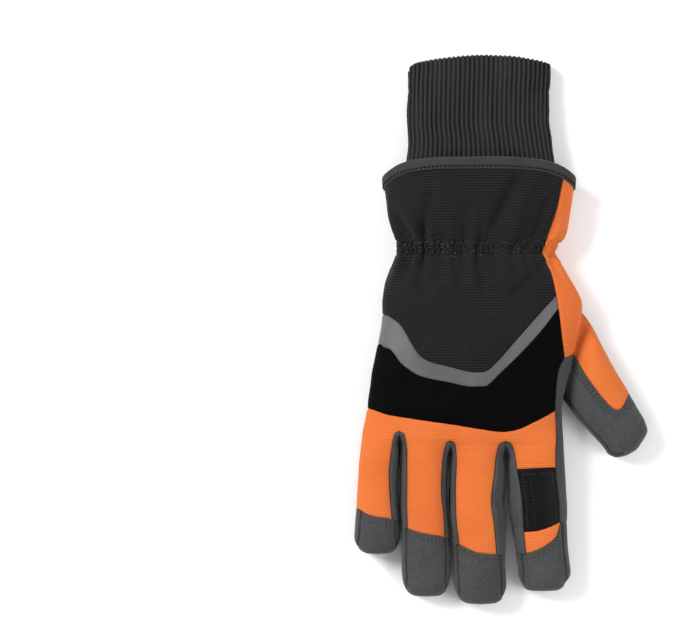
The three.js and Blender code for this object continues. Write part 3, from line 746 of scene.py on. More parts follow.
def tape_material():
    """Grey woven tape, a little worn."""
    kit = Kit("tape", 0.8, sheen=0.08, specular=0.12)
    weave = kit.wave(kit.x, 0.9) * kit.wave(kit.y, 0.9)
    tone = kit.clamp(weave * 0.3 + kit.noise(14, 3.0) * 0.8 - 0.1)
    return kit.done(kit.blend(tone, rgb(50, 50, 51), rgb(70, 70, 71)), weave + kit.noise(0.5), 0.1)


def ribbed_material():
    """Black cloth with ribs across the glove: painted highlight on their crests and painted shade in their
    grooves.
    """
    kit = Kit("ribbed_cloth", 0.85, sheen=0.06, specular=0.1)
    crest = kit.crest()
    grain = kit.noise(0.6, 4.0, (0.35, 1, 1))
    wear = kit.noise(30, 4.0)
    # painted shade in the rib grooves and painted highlight on the crests, from the crest share
    tone = kit.clamp(crest ** 1.6 * 0.6 + grain * 0.5 + wear * 0.35 - 0.3)
    return kit.done(kit.blend(tone, rgb(12, 12, 13), rgb(43, 43, 44)), crest * 0.6 + grain * 0.8, 0.18)


def orange_material():
    """Orange cloth with fine ribs across the glove, with painted shade in the ribs' grooves."""
    kit = Kit("orange_cloth", 0.75, sheen=0.03, specular=0.1)
    crest = kit.crest()
    grain = kit.noise(0.5, 4.0, (0.3, 1, 1))
    wear = kit.noise(34, 4.0)
    # painted shade: darker in the rib grooves, from the crest share
    tone = kit.clamp(crest * 0.6 + grain * 0.35 + wear * 0.4 - 0.2)
    return kit.done(kit.blend(tone, rgb(204, 86, 30), rgb(245, 136, 70)), crest * 0.6 + grain * 0.6, 0.14)


def smooth_material():
    """Plain black cloth with a faint sheen."""
    kit = Kit("smooth_cloth", 0.7, specular=0.03)
    weave = kit.wave(kit.x + kit.y, 0.7) * kit.wave(kit.x - kit.y, 0.7)
    tone = kit.clamp(kit.noise(22, 4.0) * 0.9 + weave * 0.15 - 0.15)
    rough = kit.noise(9, 3.0) * 0.25 + 0.5
    return kit.done(kit.blend(tone, rgb(2, 2, 2), rgb(10, 10, 10)), weave + kit.noise(0.6), 0.05, rough)


def patch_material():
    """Black woven patch, smoother where it is rubbed."""
    kit = Kit("patch", 0.6, sheen=0.01, specular=0.08)
    weave = kit.wave(kit.x, 0.8) * kit.wave(kit.y, 0.8)
    tone = kit.clamp(kit.noise(10, 4.0) * 0.9 + weave * 0.2 - 0.1)
    rough = kit.noise(5) * 0.3 + 0.4
    return kit.done(kit.blend(tone, rgb(8, 8, 8), rgb(24, 24, 25)), weave, 0.05, rough)


def stripe_material():
    """Grey reflective tape: tiny beads, rubbed lighter and darker in places."""
    kit = Kit("stripe", 0.45, specular=0.25)
    beads = kit.noise(0.35, 2.0)
    rubbed = kit.noise(12, 5.0)
    tone = kit.clamp(beads * 0.35 + rubbed * 0.9 - 0.15)
    return kit.done(kit.blend(tone, rgb(80, 81, 82), rgb(109, 110, 111)), beads, 0.05, rubbed * 0.3 + 0.3)


def suede_material():
    """Grey brushed suede: a fine nap with small lighter and darker flecks, and rubbed places. It is dark
    in its seam and stitch grooves, which is painted shade."""
    kit = Kit("suede", 0.95, sheen=0.12, specular=0.06)
    nap = kit.noise(0.5, 5.0)
    flecks = kit.noise(1.1, 4.0, (1, 0.6, 1))
    cloud = kit.noise(26, 3.0)
    tone = kit.clamp((nap - 0.5) * 0.9 + (flecks - 0.5) * 0.9 + (cloud - 0.5) * 0.7 + 0.5)
    worn = kit.blend(tone, rgb(56, 56, 56), rgb(91, 92, 92))
    # painted shade in the seam and stitch grooves, from the crest share
    color = kit.blend(kit.crest() * 0.6 + 0.4, rgb(18, 18, 18), worn)
    return kit.done(color, nap * 0.6 + flecks * 0.5, 0.22)


def rubber_material():
    """Dark rubber with a fine grain."""
    kit = Kit("rubber", 0.5, specular=0.25)
    tone = kit.clamp(kit.noise(8, 3.0))
    rough = kit.noise(4) * 0.3 + 0.4
    return kit.done(kit.blend(tone, rgb(40, 40, 42), rgb(54, 54, 56)), kit.noise(0.4, 3.0), 0.04, rough)


def thread_material(name, dark, pale, sheen=0.15):
    """Twisted thread."""
    kit = Kit(name, 0.6, sheen=sheen, specular=sheen * 2)
    twist = kit.wave(kit.x + kit.y * 0.6 + kit.z, 0.35)
    tone = kit.clamp(twist * 0.6 + kit.noise(6, 2.0) * 0.5)
    return kit.done(kit.blend(tone, dark, pale), twist, 0.05)


def floor_material():
    """Pale card."""
    kit = Kit("floor_card", 0.9, specular=0.1)
    tone = kit.clamp(kit.noise(160, 2.0) * 0.3)
    return kit.done(kit.blend(tone, (0.9, 0.9, 0.9, 1), (0.88, 0.88, 0.88, 1)))


KNIT, TAPE, RIBBED, ORANGE = knit_material(), tape_material(), ribbed_material(), orange_material()
SMOOTH, PATCH, STRIPE, SUEDE = smooth_material(), patch_material(), stripe_material(), suede_material()
RUBBER = rubber_material()
THREAD_GREY = thread_material("thread_grey", rgb(62, 63, 64), rgb(112, 113, 114))
THREAD_BLACK = thread_material("thread_black", rgb(8, 8, 9), rgb(28, 28, 29), sheen=0.03)
THREAD_PALE = thread_material("thread_pale", rgb(60, 60, 60), rgb(128, 128, 128))


# Stitches
STITCH_SIDES, STITCH_RINGS = 5, 5
STITCH_GAP = 0.05  # no stitch comes nearer to the floor, nor do the cuff and the binding
threads = {}


def stitch(material, p, n, long, gap, thick, sunk=0.0, wild=0.0, seed=0, hidden=0.0):
    """A row of stitches along a line of points with normals. Each stitch is a small tube whose
    middle line is half a sine above the cloth, so that it dips in at both ends. Wild ones differ
    in place, length and slant, and a share of them is hidden."""
    run = lengths(p)
    count = max(int((run[-1] - gap) / (long + gap)), 1)
    pitch = run[-1] / count
    rng = np.random.default_rng(seed)
    begin = (np.arange(count) + 0.5) * pitch - long / 2 + wild * rng.uniform(-1, 1, count)
    end = begin + long * (1 + 0.4 * wild * rng.uniform(-1, 1, count))

    def at(where, rows):
        """Rows at distances along the line."""
        return np.stack([np.interp(where, run, rows[:, k]) for k in range(3)], -1)

    share = np.linspace(0, 1, STITCH_RINGS)
    where = begin[:, None] + (end - begin)[:, None] * share
    middle, normal = at(where, p), at(where, n)
    side = np.cross(normal, at(end, p)[:, None] - at(begin, p)[:, None])
    side /= np.maximum(np.linalg.norm(side, axis=-1, keepdims=True), 1e-9)
    slant = wild * rng.uniform(-1, 1, count)[:, None, None] * (share - 0.5)[:, None] * 1.6
    arch = np.sin(np.pi * share)
    radius = thick / 2 * (0.35 + 0.65 * np.sqrt(arch))
    rise = 0.55 * thick * arch - 0.25 * thick - sunk
    middle = middle + normal * rise[:, None] + side * slant
    turn = np.linspace(0, 2 * np.pi, STITCH_SIDES, endpoint=False)
    ring = np.cos(turn)[:, None] * side[:, :, None] + np.sin(turn)[:, None] * normal[:, :, None]
    points = middle[:, :, None] + ring * radius[:, None, None]
    points[..., 2] = np.maximum(points[..., 2], STITCH_GAP)
    shown = rng.uniform(0, 1, count) >= hidden
    threads.setdefault(material, []).append(points.reshape(count, -1, 3)[shown])


def sew():
    """All stitches of one thread as one piece: each stitch has rings of points joined by faces."""
    k = np.arange(STITCH_SIDES)
    turned = (k + 1) % STITCH_SIDES
    ring = np.stack([k, turned, turned + STITCH_SIDES, k + STITCH_SIDES], 1)
    wall = np.concatenate([ring + STITCH_SIDES * i for i in range(STITCH_RINGS - 1)])
    for material, rows in threads.items():
        points = np.concatenate(rows)
        start = np.arange(len(points)) * points.shape[1]
        faces = (wall[None] + start[:, None, None]).reshape(-1, 4)
        make("stitches_" + material.name, points.reshape(-1, 3), faces, material)


def laid(cloths, line, side=1):
    """Points and normals where a line seen from above lies on cloth: weighted from the four
    nearest grid points that face up, or down for side -1."""
    p = np.concatenate([c.p.reshape(-1, 3) for c in cloths])
    n = np.concatenate([c.n.reshape(-1, 3) for c in cloths])
    up = n[:, 2] * side > 0.05
    p, n = p[up], n[up]
    far = ((line[:, None] - p[None, :, :2]) ** 2).sum(-1)
    near = np.argpartition(far, 4, axis=1)[:, :4]
    weight = 1 / (np.take_along_axis(far, near, 1) + 1e-3)
    weight = (weight / weight.sum(1, keepdims=True))[..., None]
    normal = (n[near] * weight).sum(1)
    z = (p[near] * weight).sum(1)[:, 2]
    return np.column_stack([line, z]), normal / np.linalg.norm(normal, axis=1, keepdims=True)


def groove(cloth, line, deep, wide, dark=1.0):
    """Presses a line, seen from above, into cloth: a bell of the distance to it. Its crest falls there by
    the share dark, which paints shade into the groove.
    """
    p = cloth.p[..., :2]
    far2 = np.full(p.shape[:2], 1e9)
    for part in np.array_split(line, max(len(line) // 40, 1)):
        far2 = np.minimum(far2, ((p[:, :, None] - part) ** 2).sum(-1).min(-1))
    press = np.exp(-far2 / wide ** 2) * (cloth.n[..., 2] > -0.2)
    # painted shade in the groove: the crest, and so the colour, darkens by the share dark
    cloth.crest = cloth.crest * (1 - dark * press)
    return cloth.lift(-deep * press).aim()


# Back of the hand
def side_share(y):
    """Edge of the back panels on the thumb side, as a share round the hand: the side seam, then
    the strip's seam."""
    y = np.asarray(y, float)
    side = curve_x(SIDE_SEAM, np.maximum(y, CORNER_Y))
    strip = curve_x(STRIP_SEAM, np.minimum(y, CORNER_Y))
    return hand.over(np.where(y > CORNER_Y, side, strip), y)


ROOT_Y, ROOT_LONG = -54, 22  # where the hand turns into fingers, and over what length
VALLEY_Y, VALLEY_LONG = -63, 14  # the same for the valleys between the fingers
VALLEY = 11.0  # how softly these are rounded


def rooted(y):
    """How far the hand's section has given way to the fingers' at y."""
    return step((ROOT_Y - y) / ROOT_LONG)


def roots(p):
    """Height of the cloth at x, y where the hand turns into fingers: the hand's height, giving
    way to the highest of the fingers' heights, with rounded valleys between them."""
    x, y = p[..., 0], p[..., 1]

    def height(tube, sharp=1.0):
        """Height of one tube's top at x, falling away beside it."""
        t = tube.along(y)
        top, mid, _ = tube.heights(t)
        u = np.abs(x - tube.value(1, t)) / tube.value(2, t)
        arch = mix(1 - 0.3 * np.minimum(u, 1.3) ** 2, round_off(np.minimum(u, 1), ROUND_TOP), sharp)
        return mid + (top - mid) * arch - 9 * np.maximum(u - 1, 0) * sharp

    sharp = step((VALLEY_Y - y) / VALLEY_LONG)
    total = height(fingers[0], sharp)
    for tube in fingers[1:]:
        z = height(tube, sharp)
        near = np.maximum(1 - np.abs(total - z) / VALLEY, 0) ** 2 * VALLEY / 4
        total = np.maximum(total, z) + near
    return mix(height(hand), total, rooted(y))


def back(s, y):
    """The back's cloth at shares s round the hand, with the finger roots' valleys."""
    p = hand.at(s, y)
    inside = step((p[..., 0] + 74) / 5) * step((34.5 - p[..., 0]) / 3)
    p[..., 2] = mix(p[..., 2], roots(p), inside * (y < -44))
    return p


def back_cloth(s, y, pitch=None, quiet=1.0):
    """The back's surface raised by the sum of gathers, folds and softness, then by its ribs."""
    cloth = Cloth(back(s, y))
    cloth.lift(gathers(s, y) + folds(cloth.p) + quiet * softness(cloth.p)).aim()
    return cloth.rib(bent(s, y), pitch) if pitch else cloth


# Rows of stray stitches at the wrist: y from the gather, seed, share of them hidden
GATHER_STITCHES = [(3.9, 1, 0.2), (2.6, 2, 0.35), (0.2, 3, 0.35), (-2.3, 4, 0.35), (-3.6, 5, 0.2)]


def make_gauntlet():
    """The hand's tube between the side seams, from the mouth's edge to the stripe, ribbed and
    gathered, with stray stitches over the elastic."""
    s, y = patch(left_seam, side_share, hem, stripe_top, 350, 172)
    cloth = back_cloth(s, y, RIB_BLACK).seam("lrb", 0.8, 1.5, 0.35)
    piece("back_cloth", [cloth], RIBBED, "back_gauntlet")
    share = np.linspace(0.02, float(side_share(GATHER_Y)) - 0.02, 500)
    for up, seed, hidden in GATHER_STITCHES:
        wander = 0.8 * noise_along(share * 300, 5.0, seed)
        rows = GATHER_Y + up + wander + np.array([[0.6], [0.0], [-0.6]])
        line = back_cloth(np.broadcast_to(share, rows.shape), rows)
        stitch(THREAD_PALE, line.p[1], line.n[1], 1.2, 1.8, 0.5, sunk=-0.08, wild=0.8, seed=seed,
               hidden=hidden)


def make_stripe():
    """The next band of the back, smooth, with a row of stitches along both long edges."""
    s, y = patch(left_seam, side_share, stripe_top, stripe_low, 40, 150)
    cloth = back_cloth(s, y, quiet=0.8).seam("tblr", 0.7, 1.1)
    piece("stripe_tape", [cloth], STRIPE, "reflective_stripe")
    for edge in "tb":
        stitch(THREAD_GREY, *cloth.row(edge, 1.5), 2.0, 0.7, 0.3, seed=4)


def make_knuckles():
    """The band after the stripe, down to the orange cloth."""
    s, y = patch(left_seam, side_share, stripe_low, knuckle_line, 90, 130)
    cloth = back_cloth(s, y).seam("tblr", 0.8, 1.5, 0.5)
    piece("knuckle_cloth", [cloth], SMOOTH, "knuckle_panel")


# Fingers
LITTLE_SEAM_Z = 8.0  # height of the palm's seam on the little finger and round the tips


def loop_x(k, side, y):
    """x of a fourchette's seam, or of the middle between the fingers above the crotch."""
    points = LOOPS[k][side]
    y = np.asarray(y, float)
    on_loop = curve_x(points, np.clip(y, points[-1][1], points[0][1]))
    return np.where(y > points[0][1], points[0][0], on_loop)


def crotch_y(k):
    """Where gap k begins."""
    return LOOPS[k]["left"][0][1]


def line_y(points):
    """The seam's y as a function of x, level beyond its ends."""
    return lambda x: curve_y(points, np.clip(x, points[0][0], points[-1][0]))


knuckle_y, patch_top, patch_low = line_y(KNUCKLE_EDGE), line_y(PATCH_TOP), line_y(PATCH_LOW)
cap_y = [line_y(points) for points in CAPS]


def finger_sheet(k, top, low, rows, columns=44):
    """Cloth on the back of finger k between lines top(x) and low(x): the hand's tube giving way
    to the finger's. Its sides run along the seams of the fourchettes, and along the palm's seam
    on the little finger. Each point's x and y are found by going from one to the other."""
    tube = fingers[k]
    i, j = shares(rows, columns, 0.3, 0.6)
    x = mix(-78 + 32 * k, -60 + 32 * k, j)
    for _ in range(5):
        y = mix(top(x), low(x), i)
        right = loop_x(k, "left", y) if k < 3 else curve_x(STRIP_SEAM, np.clip(y, -111.5, CORNER_Y))
        if k:
            left = loop_x(k - 1, "right", y)
            hand_left, tube_left = hand.over(left, y), tube.over(left, y)
        else:
            hand_left = hand.side(LITTLE_SEAM_Z, y, False)
            tube_left = tube.side(LITTLE_SEAM_Z, y, False)
        on_hand = hand.at(mix(hand_left, hand.over(right, y), j), y)
        on_tube = tube.at(mix(tube_left, tube.over(right, y), j), y)
        p = mix(on_hand, on_tube, rooted(y)[..., None])
        wrong_right = (right - p[..., 0])[:, -1:]
        wrong_left = (left - p[..., 0])[:, :1] if k else 0 * wrong_right
        x = p[..., 0] + mix(wrong_left, wrong_right, j)
    p[..., 0], p[..., 1] = x, y
    keep = 1.0 if k else step((x - tube.value(1, tube.along(y)) + 6) / 5)
    p[..., 2] = mix(p[..., 2], roots(p), keep)
    return p


def sealed(cloth, k, depth=0.8, radius=1.5, puff=0.3):
    """Rolls a finger's cloth into its seams, but not above the crotch, where it runs on."""
    y = cloth.p[..., 1]
    d = cloth.reach("tb")
    cloth.runs_on = [np.zeros(len(y)), np.zeros(len(y))]
    for side, gap, edge in ((0, k - 1, "l"), (-1, k, "r")):
        away = cloth.reach(edge)
        if 0 <= gap < 3:
            cloth.runs_on[side] = step((y[:, side] - crotch_y(gap)) / 0.8)
            away = away + np.maximum(y - crotch_y(gap), 0) * 1.5
        d = np.minimum(d, away)
    return cloth.sink(d, depth, radius, puff)


def finger_cloth(p, pitch=None, quiet=1.0):
    """A finger's cloth raised by its folds and softness, then by its ribs."""
    cloth = Cloth(p).lift(folds(p) + 0.9 * quiet * softness(p)).aim()
    return cloth.rib(p[..., 1] + 0.25 * noise(p / [1, 2, 1], 15.0, 43), pitch) if pitch else cloth


def make_finger_backs():
    """Four orange sheets, then the index finger's black patch and its orange end."""
    lows = [*cap_y[:3], patch_top]
    sheets = [finger_sheet(k, knuckle_y, lows[k], 210 if k < 3 else 110) for k in range(4)]
    cloths = [sealed(finger_cloth(sheet, RIB_ORANGE), k) for k, sheet in enumerate(sheets)]
    piece("finger_cloth", cloths, ORANGE, "finger_backs")
    sheet = finger_cloth(finger_sheet(3, patch_top, patch_low, 90), quiet=0.6)
    cloth = sealed(sheet, 3, 0.6, 1.2, 0.15)
    piece("index_patch_cloth", [cloth], PATCH, "index_patch")
    for edge, inset in (("l", 3.0), ("t", 3.4), ("l", 7.2), ("r", 3.0)):
        p, n = cloth.row(edge, inset)
        stitch(THREAD_GREY, p[8:-8], n[8:-8], 0.7, 1.3, 0.22, wild=0.3, seed=6)
    cloth = sealed(finger_cloth(finger_sheet(3, patch_low, cap_y[3], 34, 50), RIB_ORANGE), 3)
    piece("index_band_cloth", [cloth], ORANGE, "index_band")


NAMES = ["little", "ring", "middle", "index"]


def wall(k, right_side):
    """Side of a finger in gap k, from the back's seam down to the palm's. At the crotch x runs in
    a parabola from the seam to the middle of the gap, and the two sides meet along a keel that
    falls to the palm. Further on x is the finger's superellipse, moved to start at the seam."""
    tube, name, sign = (fingers[k], "left", 1) if right_side else (fingers[k + 1], "right", -1)
    loop, end = LOOPS[k][name], LOOPS[k]["end"]
    begin_y, last_y = loop[0][1], loop[-1][1]
    i, down = shares(90, 26, 0.2, 0.5)
    if not right_side:
        down = down[:, ::-1]
    y = mix(begin_y, mix(last_y, end, np.minimum(down * 1.6, 1)), i)
    edge_y = mix(begin_y, last_y, i)
    edge_x = loop_x(k, name, edge_y)
    edge_z = roots(np.stack([edge_x, edge_y, 0 * y], -1))
    keel = mix(edge_z[0, 0], FINGER_SEAM_Z, step((begin_y - y) / 11))
    z = mix(edge_z, keel, down)
    t = tube.along(y)
    top, mid, low = tube.heights(t)
    above = np.clip((z - mid) / (top - mid), 0, 0.999)
    below = np.clip((mid - z) / (mid - low), 0, 0.999)
    start = round_off(np.clip((edge_z - mid) / (top - mid), 0, 1), ROUND_TOP)
    across = np.where(z > mid, round_off(above, ROUND_TOP), round_off(below, FLAT_UNDERSIDE))
    middle, half = tube.value(1, t), sign * tube.value(2, t)
    on_tube = middle + half * across + (edge_x - middle - half * start) * (1 - down) ** 2
    crotch = mix(edge_x, GAP_X[k], 1 - (1 - down) ** 2)
    x = mix(crotch, on_tube, step((begin_y - 4 - y) / 10))
    limit = GAP_X[k] + 0.12 * sign
    x = np.minimum(x, limit) if right_side else np.maximum(x, limit)
    return Cloth(np.stack([mix(x, on_tube, step((end + 26 - y) / 16)), y, z], -1))


def crease(cloth):
    """The fold in the middle finger's side: a hollow across it, then a bulge."""
    below = -103.0 - cloth.p[..., 1]
    height = 1.2 * step(below / 2.5) * step((18 - below) / 14) - 0.9 * bell(below + 5, 5)
    cloth.lift(height * step((cloth.p[..., 2] - 7) / 6)).aim()


def make_fourchettes():
    """Two walls in each gap, with a raised welt along the back's seam."""
    for k, name in enumerate(NAMES[:3]):
        cloths = []
        for right_side, edge in ((True, "l"), (False, "r")):
            cloth = wall(k, right_side)
            cloth.lift(0.35 * softness(cloth.p)).aim()
            if right_side and name == "middle":
                crease(cloth)
            d = cloth.reach(edge)
            cloths.append(cloth.lift(0.75 * bell(d - 1.8, 1.3) - 0.8 * rolled(d, 1.5)))
        piece("finger_side_" + name, cloths, SUEDE, "fourchette_" + name, ["lb", "rb"])


TIP_INSET = 2.7  # how far inside the outline the seam of the tip's top runs
TIP_ROWS = (1.9, 4.0)  # insets of the two rows of stitches from the cap seam


def tip_line(tube):
    """The seam round a fingertip's top, seen from above: the tip's outline, moved inwards."""
    end_y = tube.rows[-1][0]
    t = np.linspace(tube.along(end_y + 44.0), len(tube.rows) - 1, 160)
    x, y, half = (tube.value(k, t) for k in (1, 0, 2))
    left, right = np.column_stack([x - half, y]), np.column_stack([x + half, y])
    line = even(np.concatenate([left, right[::-1]]), 260)
    share = step((line[:, 1] - end_y - 2.0) / 9.0)
    inner = line + (beside(line, TIP_INSET) - line) * share[:, None]
    return inner[share > 0.1]


def make_fingertips():
    """Domes from the cap seams to the ends: each finger's own superellipses, down to the palm's
    seam on both sides. Places along are found by going from the seam to them."""
    for k, tube in enumerate(fingers):
        i, j = shares(130, 130)
        t = tube.along(mix(-112.0, -150.0, i))
        for _ in range(5):
            y = tube.value(0, t)
            s = mix(tube.side(LITTLE_SEAM_Z, y, False), tube.side(LITTLE_SEAM_Z, y, True), j)
            first = tube.along(cap_y[k](tube.place(s, t)[:1, :, 0]))
            t = mix(first, len(tube.rows) - 1, i)
        cloth = Cloth(tube.place(s, t))
        cloth.lift(0.8 * softness(cloth.p) * (1 - i ** 4)).aim()
        groove(cloth, tip_line(tube), 0.9, 0.55)
        cloth.seam("t", 0.8, 1.5, 0.2)
        facing_up = cloth.n[3, :, 2] > 0.4
        for p, n in [cloth.row("t", inset) for inset in TIP_ROWS]:
            keep = facing_up & (p[:, 2] > 13)
            groove(cloth, p[keep, :2], 0.2, 0.5, 0.5)
            stitch(THREAD_GREY, p[keep], n[keep], 1.4, 0.9, 0.45, seed=k)
        piece("fingertip_suede_" + NAMES[k], [cloth], SUEDE, "fingertip_" + NAMES[k], "tlr")


# Thumb side
THUMB_LAST = len(THUMB) - 1
THUMB_SEAM_Z = 7.0  # height of the palm's seam on its outer side
THUMB_ROWS = (2.0, 4.1)  # distances of its stitches from the orange cloth
THUMB_SINK = 10.5  # how far its top dips beside the hand
THUMB_INNER = 0.03  # share round the thumb where its face meets its top on the inner side
SEAM_LINE = even(THUMB_SEAM, 110)


def thumb_outer(t):
    """Share round the thumb of the palm's seam on its outer side."""
    return thumb.side(THUMB_SEAM_Z, thumb.value(0, t), True)


def thumb_seam():
    """Shares round and places along the thumb of the seam of its orange top, which then goes on
    down the side to the palm's seam."""
    s, t = thumb.find(SEAM_LINE)
    s = np.maximum.accumulate(s)
    end_t = t[-1] - 0.15
    return (np.append(s, np.linspace(s[-1], float(thumb_outer(end_t)), 13)[1:]),
            np.append(t, np.linspace(t[-1], end_t, 13)[1:]))


SEAM_S, SEAM_T = thumb_seam()


def thumb_cloth(s, t, pitch=None):
    """The thumb's superellipses with their softness. Its top sinks where it meets the hand's
    side, by a bell of the distance out."""
    p = thumb.place(s, t)
    t_hand = hand.along(p[..., 1])
    out = np.maximum(p[..., 0] - hand.value(1, t_hand) - hand.value(2, t_hand), 0)
    p[..., 2] -= THUMB_SINK * step((p[..., 2] - 5) / 14) * bell(out, 8.5) * step((p[..., 1] + 62) / 24)
    cloth = Cloth(p)
    cloth.lift(1.2 * softness(p) * (1 - (t / THUMB_LAST) ** 6) * step(p[..., 2] / 6)).aim()
    return cloth.rib(p[..., 1], pitch) if pitch else cloth


def make_side_panel():
    """Two ribbed cloths: the hand's tube from the side seam round to the palm's, and the thumb's
    top from its seam to the outer side."""
    s, y = patch(side_share, under_seam, hem, lambda s: CORNER_Y + 0 * s, 300, 44)
    side = back_cloth(s, y, RIB_ORANGE).seam("lr", 0.8, 1.5, 0.3)
    before = np.linspace(0, 1, 60, endpoint=False)
    edge = np.column_stack([np.concatenate([SEAM_S[0] + 0 * before, SEAM_S]),
                            np.concatenate([before * SEAM_T[0], SEAM_T])])
    in_mm = np.array([thumb.girth / 3, 8])
    edge = even(edge * in_mm, 300) / in_mm
    i, j = shares(300, 60, 0, 0.3)
    right_t = i * SEAM_T[-1]
    s, t = mix(edge[:, :1], thumb_outer(right_t), j), mix(edge[:, 1:], right_t, j)
    top = thumb_cloth(s, t, RIB_ORANGE).seam("lr", 0.8, 1.5, 0.3)
    piece("side_cloth", [side, top], ORANGE, "side_panel", "lr")


UNDER_Y = -46.0  # where the fingers' undersides begin, above the palm's end
STRIP_Y = (-44.0, -112.6)  # ends of the strip up the index finger
WEB_X, WEB_Y = (12.0, -68.0), (-50.0, -73.5)  # ends of the web under the crotches


def palm_base():
    """The hand's tube under the glove, between the side panel and the little finger's seam. It
    dives in at the finger roots, where the undersides begin."""
    s, y = patch(under_seam, lambda y: 1 + left_seam(y), hem, lambda s: -60 + 0 * s, 150, 130)
    beyond = mix(side_share(y), 1 + left_seam(y), spread(130)[None])
    s = np.where(y < CORNER_Y, beyond, s)
    base = Cloth(hand.at(s, y))
    puckers = gathers(s, y) * 0.7 * step((base.p[..., 2] - 0.2) / 2 + 0.35)
    base.lift(puckers + 0.2 * softness(base.p) + folds(base.p, PALM_FOLDS, -1)).aim()
    base.seam("lr", 0.8, 1.5, 0.2)
    return base.lift(-1.8 * step((-50 - y) / 10))


def palm_elastic(base):
    """Two wandering rows of stitches at the wrist."""
    x = np.linspace(-56.0, 12.0, 240)
    for up, seed in ((3.6, 11), (-3.2, 12)):
        line = np.column_stack([x, GATHER_Y + up + 0.5 * noise_along(x, 6.0, seed)])
        stitch(THREAD_BLACK, *laid([base], line, -1), 1.5, 1.3, 0.5, wild=0.3, seed=seed)


def finger_under(k, tube):
    """Underside of a finger: its superellipses from the seam on one side to the other."""
    i, j = shares(140, 40, 0.2, 0.4)
    t = mix(tube.along(UNDER_Y), len(tube.rows) - 1, i)
    y = tube.value(0, t)
    near_tip = step((LOOPS[min(k, 2)]["end"] + 4 - y) / 6)
    near_strip = step((-108 - y) / 5)
    left_z = mix(FINGER_SEAM_Z, LITTLE_SEAM_Z, near_tip if k else 1.0)
    right_z = mix(FINGER_SEAM_Z, LITTLE_SEAM_Z, near_tip if k < 3 else near_strip)
    s = mix(tube.side(right_z, y, True), 1 + tube.side(left_z, y, False), j)
    under = Cloth(tube.place(s, t))
    under.lift(0.3 * softness(under.p) * step((UNDER_Y - y) / 20) * (1 - i ** 6)).aim()
    return under.seam("lr", 0.7, 1.3).lift(-1.3 * (1 - step((UNDER_Y - y) / 11)))


def index_strip():
    """The strip up the index finger's outer side: the hand's tube giving way to the finger's,
    from the strip's seam down to near the floor."""
    i, j = shares(120, 26, 0.2, 0.4)
    y = mix(*STRIP_Y, i)
    x = curve_x(STRIP_SEAM, y)
    ends = [tube.at(mix(tube.over(x, y), tube.side(3.0, y, True), j), y) for tube in (hand, fingers[3])]
    strip = Cloth(mix(*ends, rooted(y)[..., None]))
    return strip.lift(0.4 * softness(strip.p)).aim().seam("lb", 0.8, 1.5, 0.3)


def thumb_under():
    """The thumb's underside, from its outer seam round to its inner side."""
    i, j = shares(150, 130, 0.3, 0.1)
    t = i * THUMB_LAST
    return thumb_cloth(mix(thumb_outer(t), 1 + THUMB_INNER, j), t).seam("l")


def thumb_face():
    """The thumb's grey top, fanned out from the seam of its orange cloth."""
    i, j = np.meshgrid(spread(110, 0.2), np.linspace(0, 1, len(SEAM_S)), indexing="ij")
    far_t = mix(SEAM_T[0], THUMB_LAST, np.minimum(j / 0.6, 1))
    far_s = mix(THUMB_INNER, SEAM_S[-1], np.maximum(j - 0.6, 0) / 0.4)
    return thumb_cloth(mix(SEAM_S[None], far_s, i), mix(SEAM_T[None], far_t, i)).seam("t")


def thumb_seams(cloths):
    """Two rows of stitches beside the orange cloth, and the seam along the inner side."""
    for inset in THUMB_ROWS:
        line = beside(SEAM_LINE, -inset)[6:-4]
        for cloth in cloths:
            groove(cloth, line, 0.3, 0.6, 0.9)
        stitch(THREAD_GREY, *laid(cloths, line), 1.5, 1.0, 0.5, seed=9)
    t = np.linspace(thumb.along(-26.0), THUMB_LAST, 200)
    turn, half = np.radians(thumb.value(5, t)), thumb.value(2, t)
    inner = [thumb.value(1, t) - half * np.cos(turn), thumb.value(0, t) - half * np.sin(turn)]
    for cloth in cloths:
        groove(cloth, beside(even(np.column_stack(inner), 160), 1.9)[:-6], 0.8, 0.55)


def root_web():
    """Flat cloth under the crotches, so that no slit opens into the hand."""
    i, j = shares(30, 120, 0.2, 0.1)
    web = np.dstack([mix(*WEB_X, j), mix(*WEB_Y, i), 0 * i])
    web[..., 2] = hand.value(4, hand.along(web[..., 1])) + 0.6 + 0.8 * (1 - step(i * 3))
    web = Cloth(web)
    return web.lift(-0.9 * rolled(web.reach("b"), 2))


def make_palm():
    """The palm side: base, undersides, strip, thumb and web in one piece."""
    base = palm_base()
    palm_elastic(base)
    unders = [finger_under(k, tube) for k, tube in enumerate(fingers)]
    thumbs = [thumb_under(), thumb_face()]
    thumb_seams(thumbs)
    cloths = [base, *unders, index_strip(), *thumbs, root_web()]
    skirts = ["lr", "lr", "lr", "lr", "lr", "lb", "l", "t", "b"]
    piece("palm_suede", cloths, SUEDE, "palm", skirts)


